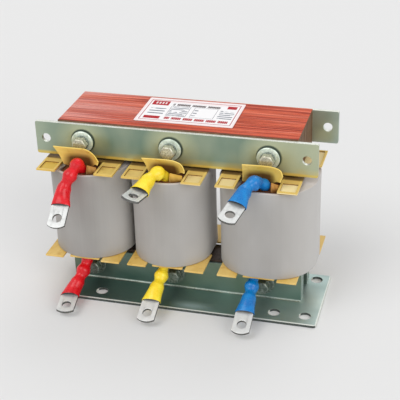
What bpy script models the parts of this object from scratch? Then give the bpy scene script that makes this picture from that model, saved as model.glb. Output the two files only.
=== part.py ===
"""Three-phase electrical reactor: laminated core, three taped coils, six sleeved leads, zinc-plated frame.

Metres, +Z up. X runs along the yokes, the terminals face -Y, and the underside of the base is z = 0.
"""
import math

import bmesh
import bpy
from mathutils import Matrix, Vector

GAP = 0.0003  # clearance between pieces that touch
WELD_DISTANCE = 0.00001
ROUND_SIDES = 20
HIDDEN_SIDES = 16
SHANK_SIDES = 14
WASHER_SIDES = 24
HEX_SIDES = 6
CORNER_STEPS = 3
BEND_STEPS = 4
SMOOTH_ANGLE = 35
BEVEL_ANGLE = 50

# Base: one zinc-plated sheet with two legs folded up across it
SHEET = 0.0025
BASE_LEFT = -0.1109
BASE_RIGHT = 0.1479
FRONT_FOOT = 0.0393
BACK_FOOT = 0.0180
LEG_RIGHT = 0.1264
LEG_TOP = 0.0355
LEG_RETURN = 0.0120
FOOT_HOLE = 0.0120
FOOT_HOLE_INSET = 0.0130
FOOT_HOLE_FRONT = 0.0150
FOOT_HOLE_BACK = 0.0102
FOOT_INNER_HOLES = (-0.0733, 0.1045)
BASE_CORNER = 0.0030

# Core: stacked laminations
CORE_X = 0.0023
YOKE_LENGTH = 0.2376
YOKE_DEPTH = 0.0750
LOWER_YOKE_HEIGHT = 0.0350
LIMB_WIDTH = 0.0360
LIMB_DEPTH = 0.0300
UPPER_YOKE_HEIGHT = 0.0372

# Coils: places of the three phases along the yokes
COIL_X = (-0.0882, -0.0019, 0.0896)
LIMB_STEP = 0.0010
COIL_HEIGHT = 0.0999
WRAP_WIDTHS = (0.0828, 0.0785, 0.0950)
WRAP_SHIFTS = (0.0010, -0.0026, 0.0026)
WRAP_DEPTH = 0.0940
WRAP_ROUND = 0.0400
WRAP_FLAT = 0.0010
WRAP_STEPS = 10
WRAP_THICKNESS = 0.0025
WINDING_SET_BACK = 0.0020
TUBE_WALL = 0.0020
TUBE_CLEARANCE = 0.0008

# Moulded end flanges of the coils
FLANGE_HUB = 0.0040
FLANGE_SHEET = 0.0018
HUB_WALL = 0.0040
FLANGE_SHIFT = -0.0015
FLANGE_DEPTH = 0.0966
FLANGE_FRONT_HALF = 0.0388
FLANGE_WAIST_HALF = 0.0330
FLANGE_BACK_HALF = 0.0425
OUTER_TAB_HALF = 0.0510
NOTCH_HALF = 0.0199
NOTCH_BRIDGE = 0.0052
WAIST_HALF_DEPTH = 0.0130
TRAY_RIM = 0.0022
TRAY_SINK = 0.0010
STRIP_HALF = 0.0153
STRIP_SET_BACK = 0.0033
LEAD_HOLE = 0.0160

# Upper clamp bars
BAR_THICKNESS = 0.0038
BAR_HEIGHT = 0.0341
BAR_X = 0.0008
BAR_LENGTH = 0.2796
BAR_BELOW_TOP = 0.0012
BAR_HOLE = 0.0090
BAR_HOLE_INSET = 0.0106
BAR_CORNER = 0.0018
BACK_BAR_RIGHT = 0.1470

# Fasteners: M8
BOLT_RADIUS = 0.0040
BOLT_HOLE = 0.0090
HEAD_FLATS = 0.0130
HEAD_HEIGHT = 0.0066
HEAD_CHAMFER = 0.0007
SPRING_RADIUS = 0.0072
SPRING_HEIGHT = 0.0024
WASHER_RADIUS = 0.0110
WASHER_HEIGHT = 0.0018
NUT_HEIGHT = 0.0065
BOLT_TAIL = 0.0040
UPPER_BOLT_X = (-0.0905, -0.0017, 0.0937)
LOWER_BOLT_X = (-0.0870, -0.0025, 0.0890)
UPPER_BOLT_BELOW_TOP = 0.0190
LOWER_BOLT_Z = 0.0190

# Leads: heat-shrink sleeves and tinned lugs, placed from a plane in front of the coils' middle
LEAD_PLANE = 0.0150
SLEEVE_RADIUS = 0.0063
SLEEVE_SWELL = 0.0006
SLEEVE_MOUTH = 0.0094
SLEEVE_FLARE = 0.0160
SLEEVE_FLARE_POWER = 1.5
SLEEVE_START = 0.62
SLEEVE_GROWTH = 0.0120
SWELL_START = 0.0170
SWELL_PITCH = 0.0140
SLEEVE_RINGS = 15
SLEEVE_ROUNDING = 3
SLEEVE_ROOT = 0.0030
FLAT_MOUTH = 0.49
FLAT_LENGTH = 0.0130
BARREL_RADIUS = 0.0047
BARREL_LENGTH = 0.0080
BARREL_SETBACK = 0.0050
MOUTH_WALL = 0.0004
MOUTH_DEPTH = 0.0055
MOUTH_BOTTOM = 0.0056
MOUTH_OVERRUN = 0.0040
FLAT_FUNNEL = 0.44
LUG_WIDTH = 0.0174
LUG_LENGTH = 0.0245
LUG_THICKNESS = 0.0026
LUG_HOLE = 0.0095
LUG_HOLE_INSET = 0.0104
LUG_END_RISE = 0.0030
LUG_EDGE = 0.0005
LUG_END_STEPS = 8
LUG_NECK = [(-0.0090, 0.0034), (-0.0055, 0.0042), (-0.0026, 0.0065), (0.0008, LUG_WIDTH / 2)]
FINE_STEPS = 24

# Routes of the six formed leads from the winding to the mouth of the sleeve, and the tips of their lugs,
# measured from the coil's centre in X, the lead plane in Y and the flange's outer face in Z
UPPER_ROUTES = {
    "a": [(0.0006, -0.0185, -0.0070), (0.0000, -0.0209, 0.0008), (0.0000, -0.0281, 0.0046),
          (-0.0014, -0.0355, 0.0017), (-0.0048, -0.0401, -0.0044), (-0.0082, -0.0439, -0.0126),
          (-0.0090, -0.0491, -0.0194), (-0.0082, -0.0560, -0.0254)],
    "b": [(-0.0007, -0.0185, -0.0070), (-0.0021, -0.0211, 0.0002), (-0.0063, -0.0271, 0.0036),
          (-0.0107, -0.0345, 0.0018), (-0.0141, -0.0421, -0.0023), (-0.0152, -0.0535, -0.0035)],
    "c": [(0.0048, -0.0185, -0.0070), (0.0032, -0.0213, 0.0002), (-0.0024, -0.0275, 0.0042),
          (-0.0082, -0.0347, 0.0026), (-0.0116, -0.0425, -0.0018), (-0.0137, -0.0555, -0.0062)],
}
UPPER_TIPS = {
    "a": (-0.0069, -0.0765, -0.0387),
    "b": (-0.0175, -0.0765, -0.0005),
    "c": (-0.0190, -0.0775, -0.0119),
}
UPPER_ROLLS = {"a": 0.0, "b": -13.0, "c": -11.0}
LOWER_ROUTES = {
    "a": [(0.0000, -0.0205, 0.0040), (-0.0010, -0.0219, -0.0055), (-0.0028, -0.0285, -0.0127),
          (-0.0054, -0.0371, -0.0195), (-0.0080, -0.0451, -0.0252), (-0.0087, -0.0545, -0.0280)],
    "b": [(-0.0053, -0.0205, 0.0040), (-0.0067, -0.0219, -0.0051), (-0.0077, -0.0285, -0.0111),
          (-0.0087, -0.0405, -0.0165), (-0.0099, -0.0545, -0.0225)],
    "c": [(-0.0054, -0.0205, 0.0040), (-0.0068, -0.0219, -0.0051), (-0.0074, -0.0285, -0.0111),
          (-0.0074, -0.0405, -0.0165), (-0.0079, -0.0545, -0.0223)],
}
LOWER_TIPS = {
    "a": (-0.0058, -0.0785, -0.0317),
    "b": (-0.0097, -0.0775, -0.0313),
    "c": (-0.0076, -0.0775, -0.0311),
}
LOWER_ROLLS = {"a": 0.0, "b": 0.0, "c": 0.0}

# Insulation tongue behind each upper lead
TONGUE_THICKNESS = 0.0012
TONGUE_COLUMNS = 12
TONGUE_ROWS = 5
TONGUE_BELLY = 0.0012
TONGUE_TOPS = {
    "a": [(-0.0257, -0.0215, 0.0200), (-0.0147, -0.0200, 0.0190), (-0.0028, -0.0195, 0.0187),
          (0.0078, -0.0205, 0.0185), (0.0158, -0.0227, 0.0149), (0.0214, -0.0255, 0.0091)],
    "b": [(-0.0228, -0.0215, 0.0158), (-0.0114, -0.0200, 0.0153), (0.0000, -0.0195, 0.0153),
          (0.0091, -0.0205, 0.0150), (0.0164, -0.0227, 0.0130), (0.0203, -0.0255, 0.0081)],
    "c": [(-0.0170, -0.0215, 0.0187), (-0.0076, -0.0200, 0.0182), (0.0017, -0.0195, 0.0181),
          (0.0121, -0.0205, 0.0180), (0.0195, -0.0227, 0.0163), (0.0223, -0.0255, 0.0120)],
}
TONGUE_FOOT = [(-0.0169, -0.0195, 0.0005), (-0.0100, -0.0125, -0.0050), (0.0000, -0.0090, -0.0058),
               (0.0090, -0.0120, -0.0035), (0.0150, -0.0190, 0.0025), (0.0200, -0.0260, 0.0057)]

# Folded insulation beside each upper lead: its left and right ends from the coil's centre
FOLD_ENDS = {"a": (0.0074, 0.0178), "b": (0.0044, 0.0174), "c": (0.0108, 0.0178)}
FOLD_TOP_Y = (-0.0207, -0.0243)
FOLD_FOOT_Y = (-0.0255, -0.0217)
FOLD_HEIGHTS = (-0.0060, 0.0022)
FOLD_BELLY = 0.0008
FOLD_THICKNESS = 0.0010
FOLD_COLUMNS = 4

# Rating label, left plain
LABEL_LENGTH = 0.0985
LABEL_DEPTH = 0.0580
LABEL_X = 0.0060
LABEL_Y = 0.0045
LABEL_THICKNESS = 0.0004
LABEL_CORNER = 0.0012

# Derived heights and depths
LIMB_FRONT = -YOKE_DEPTH / 2 - LIMB_STEP
COIL_Y = LIMB_FRONT + LIMB_DEPTH / 2
LEAD_Y = COIL_Y - LEAD_PLANE
LOWER_YOKE_BOTTOM = SHEET + GAP
LOWER_YOKE_TOP = LOWER_YOKE_BOTTOM + LOWER_YOKE_HEIGHT
COIL_BOTTOM = LOWER_YOKE_TOP + GAP
COIL_TOP = COIL_BOTTOM + COIL_HEIGHT
UPPER_YOKE_BOTTOM = COIL_TOP + GAP
CORE_TOP = UPPER_YOKE_BOTTOM + UPPER_YOKE_HEIGHT
BAR_TOP = CORE_TOP - BAR_BELOW_TOP
BAR_FRONT = -YOKE_DEPTH / 2 - GAP - BAR_THICKNESS
BAR_BACK = -BAR_FRONT
LEG_FRONT = LIMB_FRONT - GAP - SHEET
LEG_BACK = LIMB_FRONT + LIMB_DEPTH + GAP
BASE_FRONT = LEG_FRONT - FRONT_FOOT
BASE_BACK = LEG_BACK + SHEET + BACK_FOOT
UPPER_BOLT_Z = CORE_TOP - UPPER_BOLT_BELOW_TOP
WRAP_BOTTOM = COIL_BOTTOM + FLANGE_HUB + GAP
WRAP_TOP = COIL_TOP - FLANGE_HUB - GAP
WINDING_TOP = WRAP_TOP - WINDING_SET_BACK
PHASES = ("a", "b", "c")


def start_scene():
    """Empty the scene and make the two collections."""
    for old in list(bpy.data.objects):
        bpy.data.objects.remove(old)
    part = bpy.data.collections.new("electrical_reactor")
    tools = bpy.data.collections.new("cutters")
    bpy.context.scene.collection.children.link(part)
    bpy.context.scene.collection.children.link(tools)
    return part, tools


PART, TOOLS = start_scene()


def material(name, color, roughness, metallic):
    """A Principled material of one colour."""
    made = bpy.data.materials.new(name)
    made.use_nodes = True
    shader = made.node_tree.nodes["Principled BSDF"]
    shader.inputs["Base Color"].default_value = (*color, 1.0)
    shader.inputs["Roughness"].default_value = roughness
    shader.inputs["Metallic"].default_value = metallic
    return made


ZINC = material("zinc_plate", (0.34, 0.40, 0.34), 0.34, 0.85)
FASTENER = material("zinc_fastener", (0.52, 0.56, 0.52), 0.35, 0.85)
RED_CORE = material("red_core_paint", (0.55, 0.08, 0.05), 0.55, 0.0)
BROWN_CORE = material("brown_core_steel", (0.16, 0.09, 0.05), 0.60, 0.2)
TAPE = material("grey_tape", (0.42, 0.41, 0.39), 0.60, 0.0)
COPPER = material("varnished_winding", (0.12, 0.05, 0.03), 0.45, 0.1)
MOULDING = material("ochre_moulding", (0.76, 0.48, 0.12), 0.45, 0.0)
SHEET_YELLOW = material("ochre_sheet", (0.74, 0.46, 0.10), 0.50, 0.0)
TIN = material("tinned_copper", (0.72, 0.72, 0.71), 0.30, 0.9)
PAPER = material("label_paper", (0.80, 0.78, 0.77), 0.50, 0.0)
SLEEVES = {
    "a": material("red_sleeve", (0.68, 0.01, 0.03), 0.30, 0.0),
    "b": material("yellow_sleeve", (0.93, 0.62, 0.02), 0.30, 0.0),
    "c": material("blue_sleeve", (0.01, 0.20, 0.62), 0.30, 0.0),
}


def add_object(name, mesh, skin, collection=PART):
    """Link a mesh as an object with its material, smooth where it is round."""
    made = bpy.data.objects.new(name, mesh)
    collection.objects.link(made)
    if skin:
        mesh.materials.append(skin)
    mesh.shade_smooth()
    mesh.set_sharp_from_angle(angle=math.radians(SMOOTH_ANGLE))
    return made


def hide_tool(tool):
    """Mark an object as a cutter or a joining piece."""
    tool.hide_render = True
    tool.display_type = "WIRE"
    return tool


def combine(target, tool, operation, thorough=False):
    """Cut or join with a hidden tool object; thorough also sorts out faces that lie in one plane."""
    step = target.modifiers.new(operation.lower(), "BOOLEAN")
    step.operation = operation
    step.object = hide_tool(tool)
    step.use_self = thorough
    return target


def bevel(target, width):
    """Break the sharp edges."""
    step = target.modifiers.new("bevel", "BEVEL")
    step.width = width
    step.limit_method = "ANGLE"
    step.angle_limit = math.radians(BEVEL_ANGLE)
    return target


def weld(target):
    """Merge the points that a cut leaves almost on top of each other."""
    step = target.modifiers.new("weld", "WELD")
    step.merge_threshold = WELD_DISTANCE
    return target


def arc(center_x, center_y, radius, start, end, steps):
    """Points of an arc, angles in degrees."""
    turn = [math.radians(start + (end - start) * i / steps) for i in range(steps + 1)]
    return [(center_x + radius * math.cos(t), center_y + radius * math.sin(t)) for t in turn]


def circle(center_x, center_y, diameter, steps=ROUND_SIDES):
    """Points of a full circle."""
    return arc(center_x, center_y, diameter / 2, 0, 360, steps)[:-1]


def rectangle(left, right, low, high, radius=0.0, steps=CORNER_STEPS):
    """Points of a rectangle, its corners rounded where a radius is given."""
    if radius == 0.0:
        return [(left, low), (right, low), (right, high), (left, high)]
    points = arc(right - radius, low + radius, radius, -90, 0, steps)
    points += arc(right - radius, high - radius, radius, 0, 90, steps)
    points += arc(left + radius, high - radius, radius, 90, 180, steps)
    points += arc(left + radius, low + radius, radius, 180, 270, steps)
    return points


def extrusion(name, loops, thickness, skin, collection=PART):
    """A flat outline with holes, extruded about its own plane, as one mesh."""
    data = bpy.data.curves.new(name, "CURVE")
    data.dimensions = "2D"
    data.fill_mode = "BOTH"
    data.extrude = thickness / 2
    for loop in loops:
        spline = data.splines.new("POLY")
        spline.points.add(len(loop) - 1)
        for point, (x, y) in zip(spline.points, loop):
            point.co = (x, y, 0.0, 1.0)
        spline.use_cyclic_u = True
    return curve_to_mesh(name, data, skin, collection)


def curve_to_mesh(name, data, skin, collection):
    """Turn a curve into a welded mesh object."""
    source = bpy.data.objects.new(name + "_curve", data)
    TOOLS.objects.link(source)
    bpy.context.view_layer.update()
    evaluated = source.evaluated_get(bpy.context.evaluated_depsgraph_get())
    mesh = bpy.data.meshes.new_from_object(evaluated)
    bpy.data.objects.remove(source)
    work = bmesh.new()
    work.from_mesh(mesh)
    bmesh.ops.remove_doubles(work, verts=work.verts, dist=WELD_DISTANCE)
    bmesh.ops.recalc_face_normals(work, faces=work.faces)
    work.to_mesh(mesh)
    work.free()
    mesh.name = name
    mesh.materials.clear()
    return add_object(name, mesh, skin, collection)


def upright(name, loops, front, thickness, skin, collection=PART):
    """An outline drawn in X and Z, extruded from its front face towards +Y."""
    made = extrusion(name, loops, thickness, skin, collection)
    made.rotation_euler = (math.radians(90), 0, 0)
    made.location = (0, front + thickness / 2, 0)
    return made


def level(name, loops, bottom, thickness, skin, collection=PART):
    """An outline drawn in X and Y, extruded up from its bottom face."""
    made = extrusion(name, loops, thickness, skin, collection)
    made.location = (0, 0, bottom + thickness / 2)
    return made


def box(name, left, right, front, back, bottom, top, skin, collection=PART):
    """A plain block between six planes."""
    work = bmesh.new()
    bmesh.ops.create_cube(work, size=1.0)
    size = Vector((right - left, back - front, top - bottom))
    bmesh.ops.scale(work, vec=size, verts=work.verts)
    mesh = bpy.data.meshes.new(name)
    work.to_mesh(mesh)
    work.free()
    made = add_object(name, mesh, skin, collection)
    made.location = ((left + right) / 2, (front + back) / 2, (bottom + top) / 2)
    return made


def rod(name, center, axis, length, radius, end_radius, sides, skin, collection=PART):
    """A cylinder or cone that starts at its center point and runs along an axis."""
    work = bmesh.new()
    radii = {"radius1": radius, "radius2": end_radius}
    bmesh.ops.create_cone(work, cap_ends=True, segments=sides, depth=length, **radii)
    bmesh.ops.translate(work, vec=(0, 0, length / 2), verts=work.verts)
    mesh = bpy.data.meshes.new(name)
    work.to_mesh(mesh)
    work.free()
    made = add_object(name, mesh, skin, collection)
    made.rotation_mode = "QUATERNION"
    made.rotation_quaternion = Vector(axis).to_track_quat("Z", "Y")
    made.location = center
    return made


def make_base():
    """Foot plate with its fixing holes, two folded legs and their bend fillets."""
    hole_y = (BASE_FRONT + FOOT_HOLE_FRONT, BASE_BACK - FOOT_HOLE_BACK)
    holes = [circle(x, hole_y[0], FOOT_HOLE) for x in FOOT_INNER_HOLES]
    holes += [circle(BASE_RIGHT - FOOT_HOLE_INSET, y, FOOT_HOLE) for y in hole_y]
    outline = rectangle(BASE_LEFT, BASE_RIGHT, BASE_FRONT, BASE_BACK, BASE_CORNER)
    base = level("base_bracket", [outline, *holes], 0.0, SHEET, ZINC)
    bolt_holes = [circle(x, LOWER_BOLT_Z, BOLT_HOLE, HIDDEN_SIDES) for x in LOWER_BOLT_X]
    root = SHEET / 2
    for label, face, outward in (("front", LEG_FRONT, -1), ("back", LEG_BACK, 1)):
        leg_outline = rectangle(BASE_LEFT, LEG_RIGHT, root, LEG_TOP)
        leg = upright(label + "_leg", [leg_outline, *bolt_holes], face, SHEET, None, TOOLS)
        combine(base, leg, "UNION")
        outer = face if outward < 0 else face + SHEET
        combine(base, make_bend(label + "_bend", outer, outward), "UNION")
        inner = face + SHEET / 2
        far = inner + LEG_RETURN
        end = box(label + "_return", LEG_RIGHT - SHEET, LEG_RIGHT, inner, far, root, LEG_TOP, None, TOOLS)
        combine(base, end, "UNION")
    return weld(base)


def make_bend(name, face, outward):
    """The fillet where a leg turns into its foot."""
    radius = SHEET
    center_y = face + outward * radius
    points = arc(center_y, SHEET + radius, radius, 270, 180 if outward > 0 else 360, BEND_STEPS)
    points += [(face - outward * SHEET / 2, SHEET + radius), (face - outward * SHEET / 2, SHEET / 2)]
    points += [(center_y, SHEET / 2)]
    length = LEG_RIGHT - BASE_LEFT
    bend = extrusion(name, [points], length, None, TOOLS)
    bend.rotation_euler = (math.radians(90), 0, math.radians(90))
    bend.location = ((LEG_RIGHT + BASE_LEFT) / 2, 0, 0)
    return bend


def make_core():
    """Two yokes with their bolt holes and the three limbs between them."""
    left = CORE_X - YOKE_LENGTH / 2
    right = CORE_X + YOKE_LENGTH / 2
    upper_holes = [circle(x, UPPER_BOLT_Z, BOLT_HOLE, HIDDEN_SIDES) for x in UPPER_BOLT_X]
    upper = [rectangle(left, right, UPPER_YOKE_BOTTOM, CORE_TOP), *upper_holes]
    upright("upper_yoke", upper, -YOKE_DEPTH / 2, YOKE_DEPTH, RED_CORE)
    lower_holes = [circle(x, LOWER_BOLT_Z, BOLT_HOLE, HIDDEN_SIDES) for x in LOWER_BOLT_X]
    lower = [rectangle(BASE_LEFT, right, LOWER_YOKE_BOTTOM, LOWER_YOKE_TOP), *lower_holes]
    upright("lower_yoke", lower, LIMB_FRONT, LIMB_DEPTH, BROWN_CORE)
    for phase, x in zip(PHASES, COIL_X):
        edge = x - LIMB_WIDTH / 2
        span = (edge, edge + LIMB_WIDTH, LIMB_FRONT, LIMB_FRONT + LIMB_DEPTH, COIL_BOTTOM, COIL_TOP)
        box("limb_" + phase, *span, BROWN_CORE)


def make_bars():
    """Front and back clamp bars of the upper yoke."""
    middle = BAR_TOP - BAR_HEIGHT / 2
    low = BAR_TOP - BAR_HEIGHT
    bolt_holes = [circle(x, UPPER_BOLT_Z, BOLT_HOLE, HIDDEN_SIDES) for x in UPPER_BOLT_X]
    left = BAR_X - BAR_LENGTH / 2
    right = BAR_X + BAR_LENGTH / 2
    end_holes = [circle(x, middle, BAR_HOLE) for x in (left + BAR_HOLE_INSET, right - BAR_HOLE_INSET)]
    outline = rectangle(left, right, low, BAR_TOP, BAR_CORNER)
    upright("front_clamp_bar", [outline, *bolt_holes, *end_holes], BAR_FRONT, BAR_THICKNESS, ZINC)
    back_left = CORE_X - YOKE_LENGTH / 2
    back_outline = rectangle(back_left, BACK_BAR_RIGHT, low, BAR_TOP, BAR_CORNER)
    back_hole = circle(BACK_BAR_RIGHT - BAR_HOLE_INSET, middle, BAR_HOLE)
    back_face = BAR_BACK - BAR_THICKNESS
    upright("back_clamp_bar", [back_outline, *bolt_holes, back_hole], back_face, BAR_THICKNESS, ZINC)


def flange_outline(x, left_back, right_back):
    """Plan of the upper flange: four corner tabs, a lead notch in front and one at the back."""
    front = COIL_Y - FLANGE_DEPTH / 2
    back = COIL_Y + FLANGE_DEPTH / 2
    waist = COIL_Y - WAIST_HALF_DEPTH
    back_tab = COIL_Y + WAIST_HALF_DEPTH
    right_side = [(x + NOTCH_HALF, front), (x + FLANGE_FRONT_HALF, front), (x + FLANGE_FRONT_HALF, waist)]
    right_side += [(x + FLANGE_WAIST_HALF, waist), (x + FLANGE_WAIST_HALF, back_tab)]
    right_side += [(x + right_back, back_tab), (x + right_back, back), (x + NOTCH_HALF, back)]
    left_side = [(x - NOTCH_HALF, back), (x - left_back, back), (x - left_back, back_tab)]
    left_side += [(x - FLANGE_WAIST_HALF, back_tab), (x - FLANGE_WAIST_HALF, waist)]
    left_side += [(x - FLANGE_FRONT_HALF, waist), (x - FLANGE_FRONT_HALF, front), (x - NOTCH_HALF, front)]
    floor = LIMB_DEPTH / 2 + TUBE_CLEARANCE + NOTCH_BRIDGE
    right_notch = [(x + NOTCH_HALF, COIL_Y + floor), (x - NOTCH_HALF, COIL_Y + floor)]
    left_notch = [(x - NOTCH_HALF, COIL_Y - floor), (x + NOTCH_HALF, COIL_Y - floor)]
    return right_side + right_notch + left_side + left_notch


def lower_flange_outline(x, left_back, right_back):
    """Plan of the lower flange: the same tabs with a short strip between the front pair."""
    center = x + FLANGE_SHIFT
    points = flange_outline(center, left_back, right_back)
    front = COIL_Y - FLANGE_DEPTH / 2
    strip = front + STRIP_SET_BACK
    floor = LIMB_FRONT - TUBE_CLEARANCE - NOTCH_BRIDGE
    strip_points = [(center - NOTCH_HALF, floor), (x - STRIP_HALF, floor), (x - STRIP_HALF, strip)]
    strip_points += [(x + STRIP_HALF, strip), (x + STRIP_HALF, floor), (center + NOTCH_HALF, floor)]
    return points[:-2] + strip_points


def limb_window(x):
    """Opening for the coil tube through a flange."""
    half_width = LIMB_WIDTH / 2 + TUBE_CLEARANCE
    half_depth = LIMB_DEPTH / 2 + TUBE_CLEARANCE
    return rectangle(x - half_width, x + half_width, COIL_Y - half_depth, COIL_Y + half_depth)


def add_hub(flange, window, bottom, top):
    """Collar of a flange round the limb, and the opening through both."""
    (left, front), (right, back) = window[0], window[2]
    outer = (left - HUB_WALL, right + HUB_WALL, front - HUB_WALL, back + HUB_WALL)
    combine(flange, box(flange.name + "_hub", *outer, bottom, top, None, TOOLS), "UNION", True)
    middle = (bottom + top) / 2
    sides = (left, right, front, back)
    tool = box(flange.name + "_window", *sides, middle - FLANGE_HUB, middle + FLANGE_HUB, None, TOOLS)
    combine(flange, tool, "DIFFERENCE", True)


def cut_trays(flange, x, left_back, right_back, phase):
    """Sink the floor of the four tabs so that a rim stands round each."""
    front = COIL_Y - FLANGE_DEPTH / 2
    back = COIL_Y + FLANGE_DEPTH / 2
    rim = TRAY_RIM
    inner = NOTCH_HALF + rim
    front_back = COIL_Y - WAIST_HALF_DEPTH - rim
    back_front = COIL_Y + WAIST_HALF_DEPTH + rim
    floors = {
        "front_left": (x - FLANGE_FRONT_HALF + rim, x - inner, front + rim, front_back),
        "front_right": (x + inner, x + FLANGE_FRONT_HALF - rim, front + rim, front_back),
        "back_left": (x - left_back + rim, x - inner, back_front, back - rim),
        "back_right": (x + inner, x + right_back - rim, back_front, back - rim),
    }
    heights = (COIL_TOP - TRAY_SINK, COIL_TOP + TRAY_SINK)
    for place, sides in floors.items():
        tool = box("tray_" + place + "_" + phase, *sides, *heights, None, TOOLS)
        combine(flange, tool, "DIFFERENCE")


def make_flanges(phase, x):
    """Upper flange with tray tabs and lower flange with its centre strip."""
    center = x + FLANGE_SHIFT
    left_back = FLANGE_BACK_HALF
    right_back = OUTER_TAB_HALF if phase == PHASES[-1] else FLANGE_BACK_HALF
    window = limb_window(x)
    top_outline = flange_outline(center, left_back, right_back)
    top = level("upper_flange_" + phase, [top_outline], COIL_TOP - FLANGE_SHEET, FLANGE_SHEET, MOULDING)
    add_hub(top, window, COIL_TOP - FLANGE_HUB, COIL_TOP - FLANGE_SHEET / 2)
    cut_trays(top, center, left_back, right_back, phase)
    bottom_outline = lower_flange_outline(x, left_back, right_back)
    sheet_bottom = COIL_BOTTOM + FLANGE_HUB - FLANGE_SHEET
    bottom = level("lower_flange_" + phase, [bottom_outline], sheet_bottom, FLANGE_SHEET, MOULDING)
    add_hub(bottom, window, COIL_BOTTOM, sheet_bottom + FLANGE_SHEET / 2)
    lead_x, lead_y, _ = LOWER_ROUTES[phase][0]
    place = (x + lead_x, LEAD_Y + lead_y, COIL_BOTTOM)
    span = (2 * FLANGE_HUB, LEAD_HOLE / 2, LEAD_HOLE / 2)
    tool = rod("lead_hole_" + phase, place, (0, 0, 1), *span, ROUND_SIDES, None, TOOLS)
    combine(bottom, tool, "DIFFERENCE")


def wrap_loop(x, width, inset):
    """Plan of the wound oval, drawn in by an inset."""
    half = width / 2 - inset
    depth = WRAP_DEPTH / 2 - inset
    radius = min(WRAP_ROUND, width / 2 - WRAP_FLAT) - inset
    return rectangle(x - half, x + half, COIL_Y - depth, COIL_Y + depth, radius, WRAP_STEPS)


def make_coil(phase, x, wrap_x, wrap_width):
    """Tube round the limb, winding and outer tape wrap."""
    height = WRAP_TOP - WRAP_BOTTOM
    outer = wrap_loop(wrap_x, wrap_width, 0.0)
    inner = wrap_loop(wrap_x, wrap_width, WRAP_THICKNESS)
    level("tape_wrap_" + phase, [outer, inner], WRAP_BOTTOM, height, TAPE)
    tube_inner = limb_window(x)
    tube_half_width = LIMB_WIDTH / 2 + TUBE_CLEARANCE + TUBE_WALL
    tube_half_depth = LIMB_DEPTH / 2 + TUBE_CLEARANCE + TUBE_WALL
    sides = (x - tube_half_width, x + tube_half_width, COIL_Y - tube_half_depth, COIL_Y + tube_half_depth)
    level("coil_tube_" + phase, [rectangle(*sides), tube_inner], WRAP_BOTTOM, height, MOULDING)
    bore = rectangle(sides[0] - GAP, sides[1] + GAP, sides[2] - GAP, sides[3] + GAP)
    winding_outer = wrap_loop(wrap_x, wrap_width, WRAP_THICKNESS + GAP)
    winding_height = WINDING_TOP - WRAP_BOTTOM
    level("winding_" + phase, [winding_outer, bore], WRAP_BOTTOM, winding_height, COPPER)


def placed(points, x, z):
    """Points given from the lead plane of a coil, moved to their place on the reactor."""
    return [Vector((x, LEAD_Y, z)) + Vector(point) for point in points]


def curved_sheet(name, foot, top, belly, thickness):
    """Thin sheet between two edges of the same number of points, bowed back between them."""
    columns = len(foot) - 1
    work = bmesh.new()
    bmesh.ops.create_grid(work, x_segments=columns, y_segments=TONGUE_ROWS, size=0.5)
    for vert in work.verts:
        column = round((vert.co.x + 0.5) * columns)
        rise = vert.co.y + 0.5
        bow = belly * math.sin(math.pi * rise)
        vert.co = foot[column].lerp(top[column], rise) + Vector((0, bow, 0))
    mesh = bpy.data.meshes.new(name)
    work.to_mesh(mesh)
    work.free()
    sheet = add_object(name, mesh, SHEET_YELLOW)
    shell = sheet.modifiers.new("sheet", "SOLIDIFY")
    shell.thickness = thickness
    shell.offset = 0.0


def make_tongue(phase, x):
    """Curved insulation sheet that rises from the notch and leans over the bolt head."""
    top = smooth_route(placed(TONGUE_TOPS[phase], x, COIL_TOP), TONGUE_COLUMNS)
    foot = smooth_route(placed(TONGUE_FOOT, x, COIL_TOP), TONGUE_COLUMNS)
    curved_sheet("insulation_tongue_" + phase, foot, top, TONGUE_BELLY, TONGUE_THICKNESS)


def make_fold(phase, x):
    """Folded insulation that stands on the winding to the right of the upper lead."""
    low, high = FOLD_HEIGHTS
    foot = placed([(x_end, y, low) for x_end, y in zip(FOLD_ENDS[phase], FOLD_FOOT_Y)], x, COIL_TOP)
    top = placed([(x_end, y, high) for x_end, y in zip(FOLD_ENDS[phase], FOLD_TOP_Y)], x, COIL_TOP)
    foot = smooth_route(foot, FOLD_COLUMNS)
    top = smooth_route(top, FOLD_COLUMNS)
    curved_sheet("insulation_fold_" + phase, foot, top, -FOLD_BELLY, FOLD_THICKNESS)


def smooth_route(points, count):
    """Evenly spaced points of a smooth curve through a route."""
    ends = [2 * points[0] - points[1], *points, 2 * points[-1] - points[-2]]
    fine = []
    for a, b, c, d in zip(ends, ends[1:], ends[2:], ends[3:]):
        for step in range(FINE_STEPS):
            t = step / FINE_STEPS
            bend = (2 * a - 5 * b + 4 * c - d) * t ** 2 + (3 * b - 3 * c + d - a) * t ** 3
            fine.append((2 * b + (c - a) * t + bend) / 2)
    fine.append(points[-1])
    travelled = [0.0]
    for a, b in zip(fine, fine[1:]):
        travelled.append(travelled[-1] + (b - a).length)
    result = [fine[0]]
    for i in range(1, count):
        wanted = travelled[-1] * i / count
        after = next(n for n, way in enumerate(travelled) if way >= wanted)
        share = (wanted - travelled[after - 1]) / (travelled[after] - travelled[after - 1])
        result.append(fine[after - 1].lerp(fine[after], share))
    result.append(fine[-1])
    return result


def sleeve_radius(travelled, left_over):
    """Radius along a sleeve: a slim start, shallow swellings, then a flare to the mouth."""
    start = SLEEVE_START + (1 - SLEEVE_START) * min(1.0, travelled / SLEEVE_GROWTH)
    swell = SLEEVE_SWELL * math.cos(math.tau * max(0.0, left_over - SWELL_START) / SWELL_PITCH)
    flare = max(0.0, 1 - left_over / SLEEVE_FLARE) ** SLEEVE_FLARE_POWER
    return start * (SLEEVE_RADIUS + swell) + (SLEEVE_MOUTH - SLEEVE_RADIUS - SLEEVE_SWELL) * flare


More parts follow.
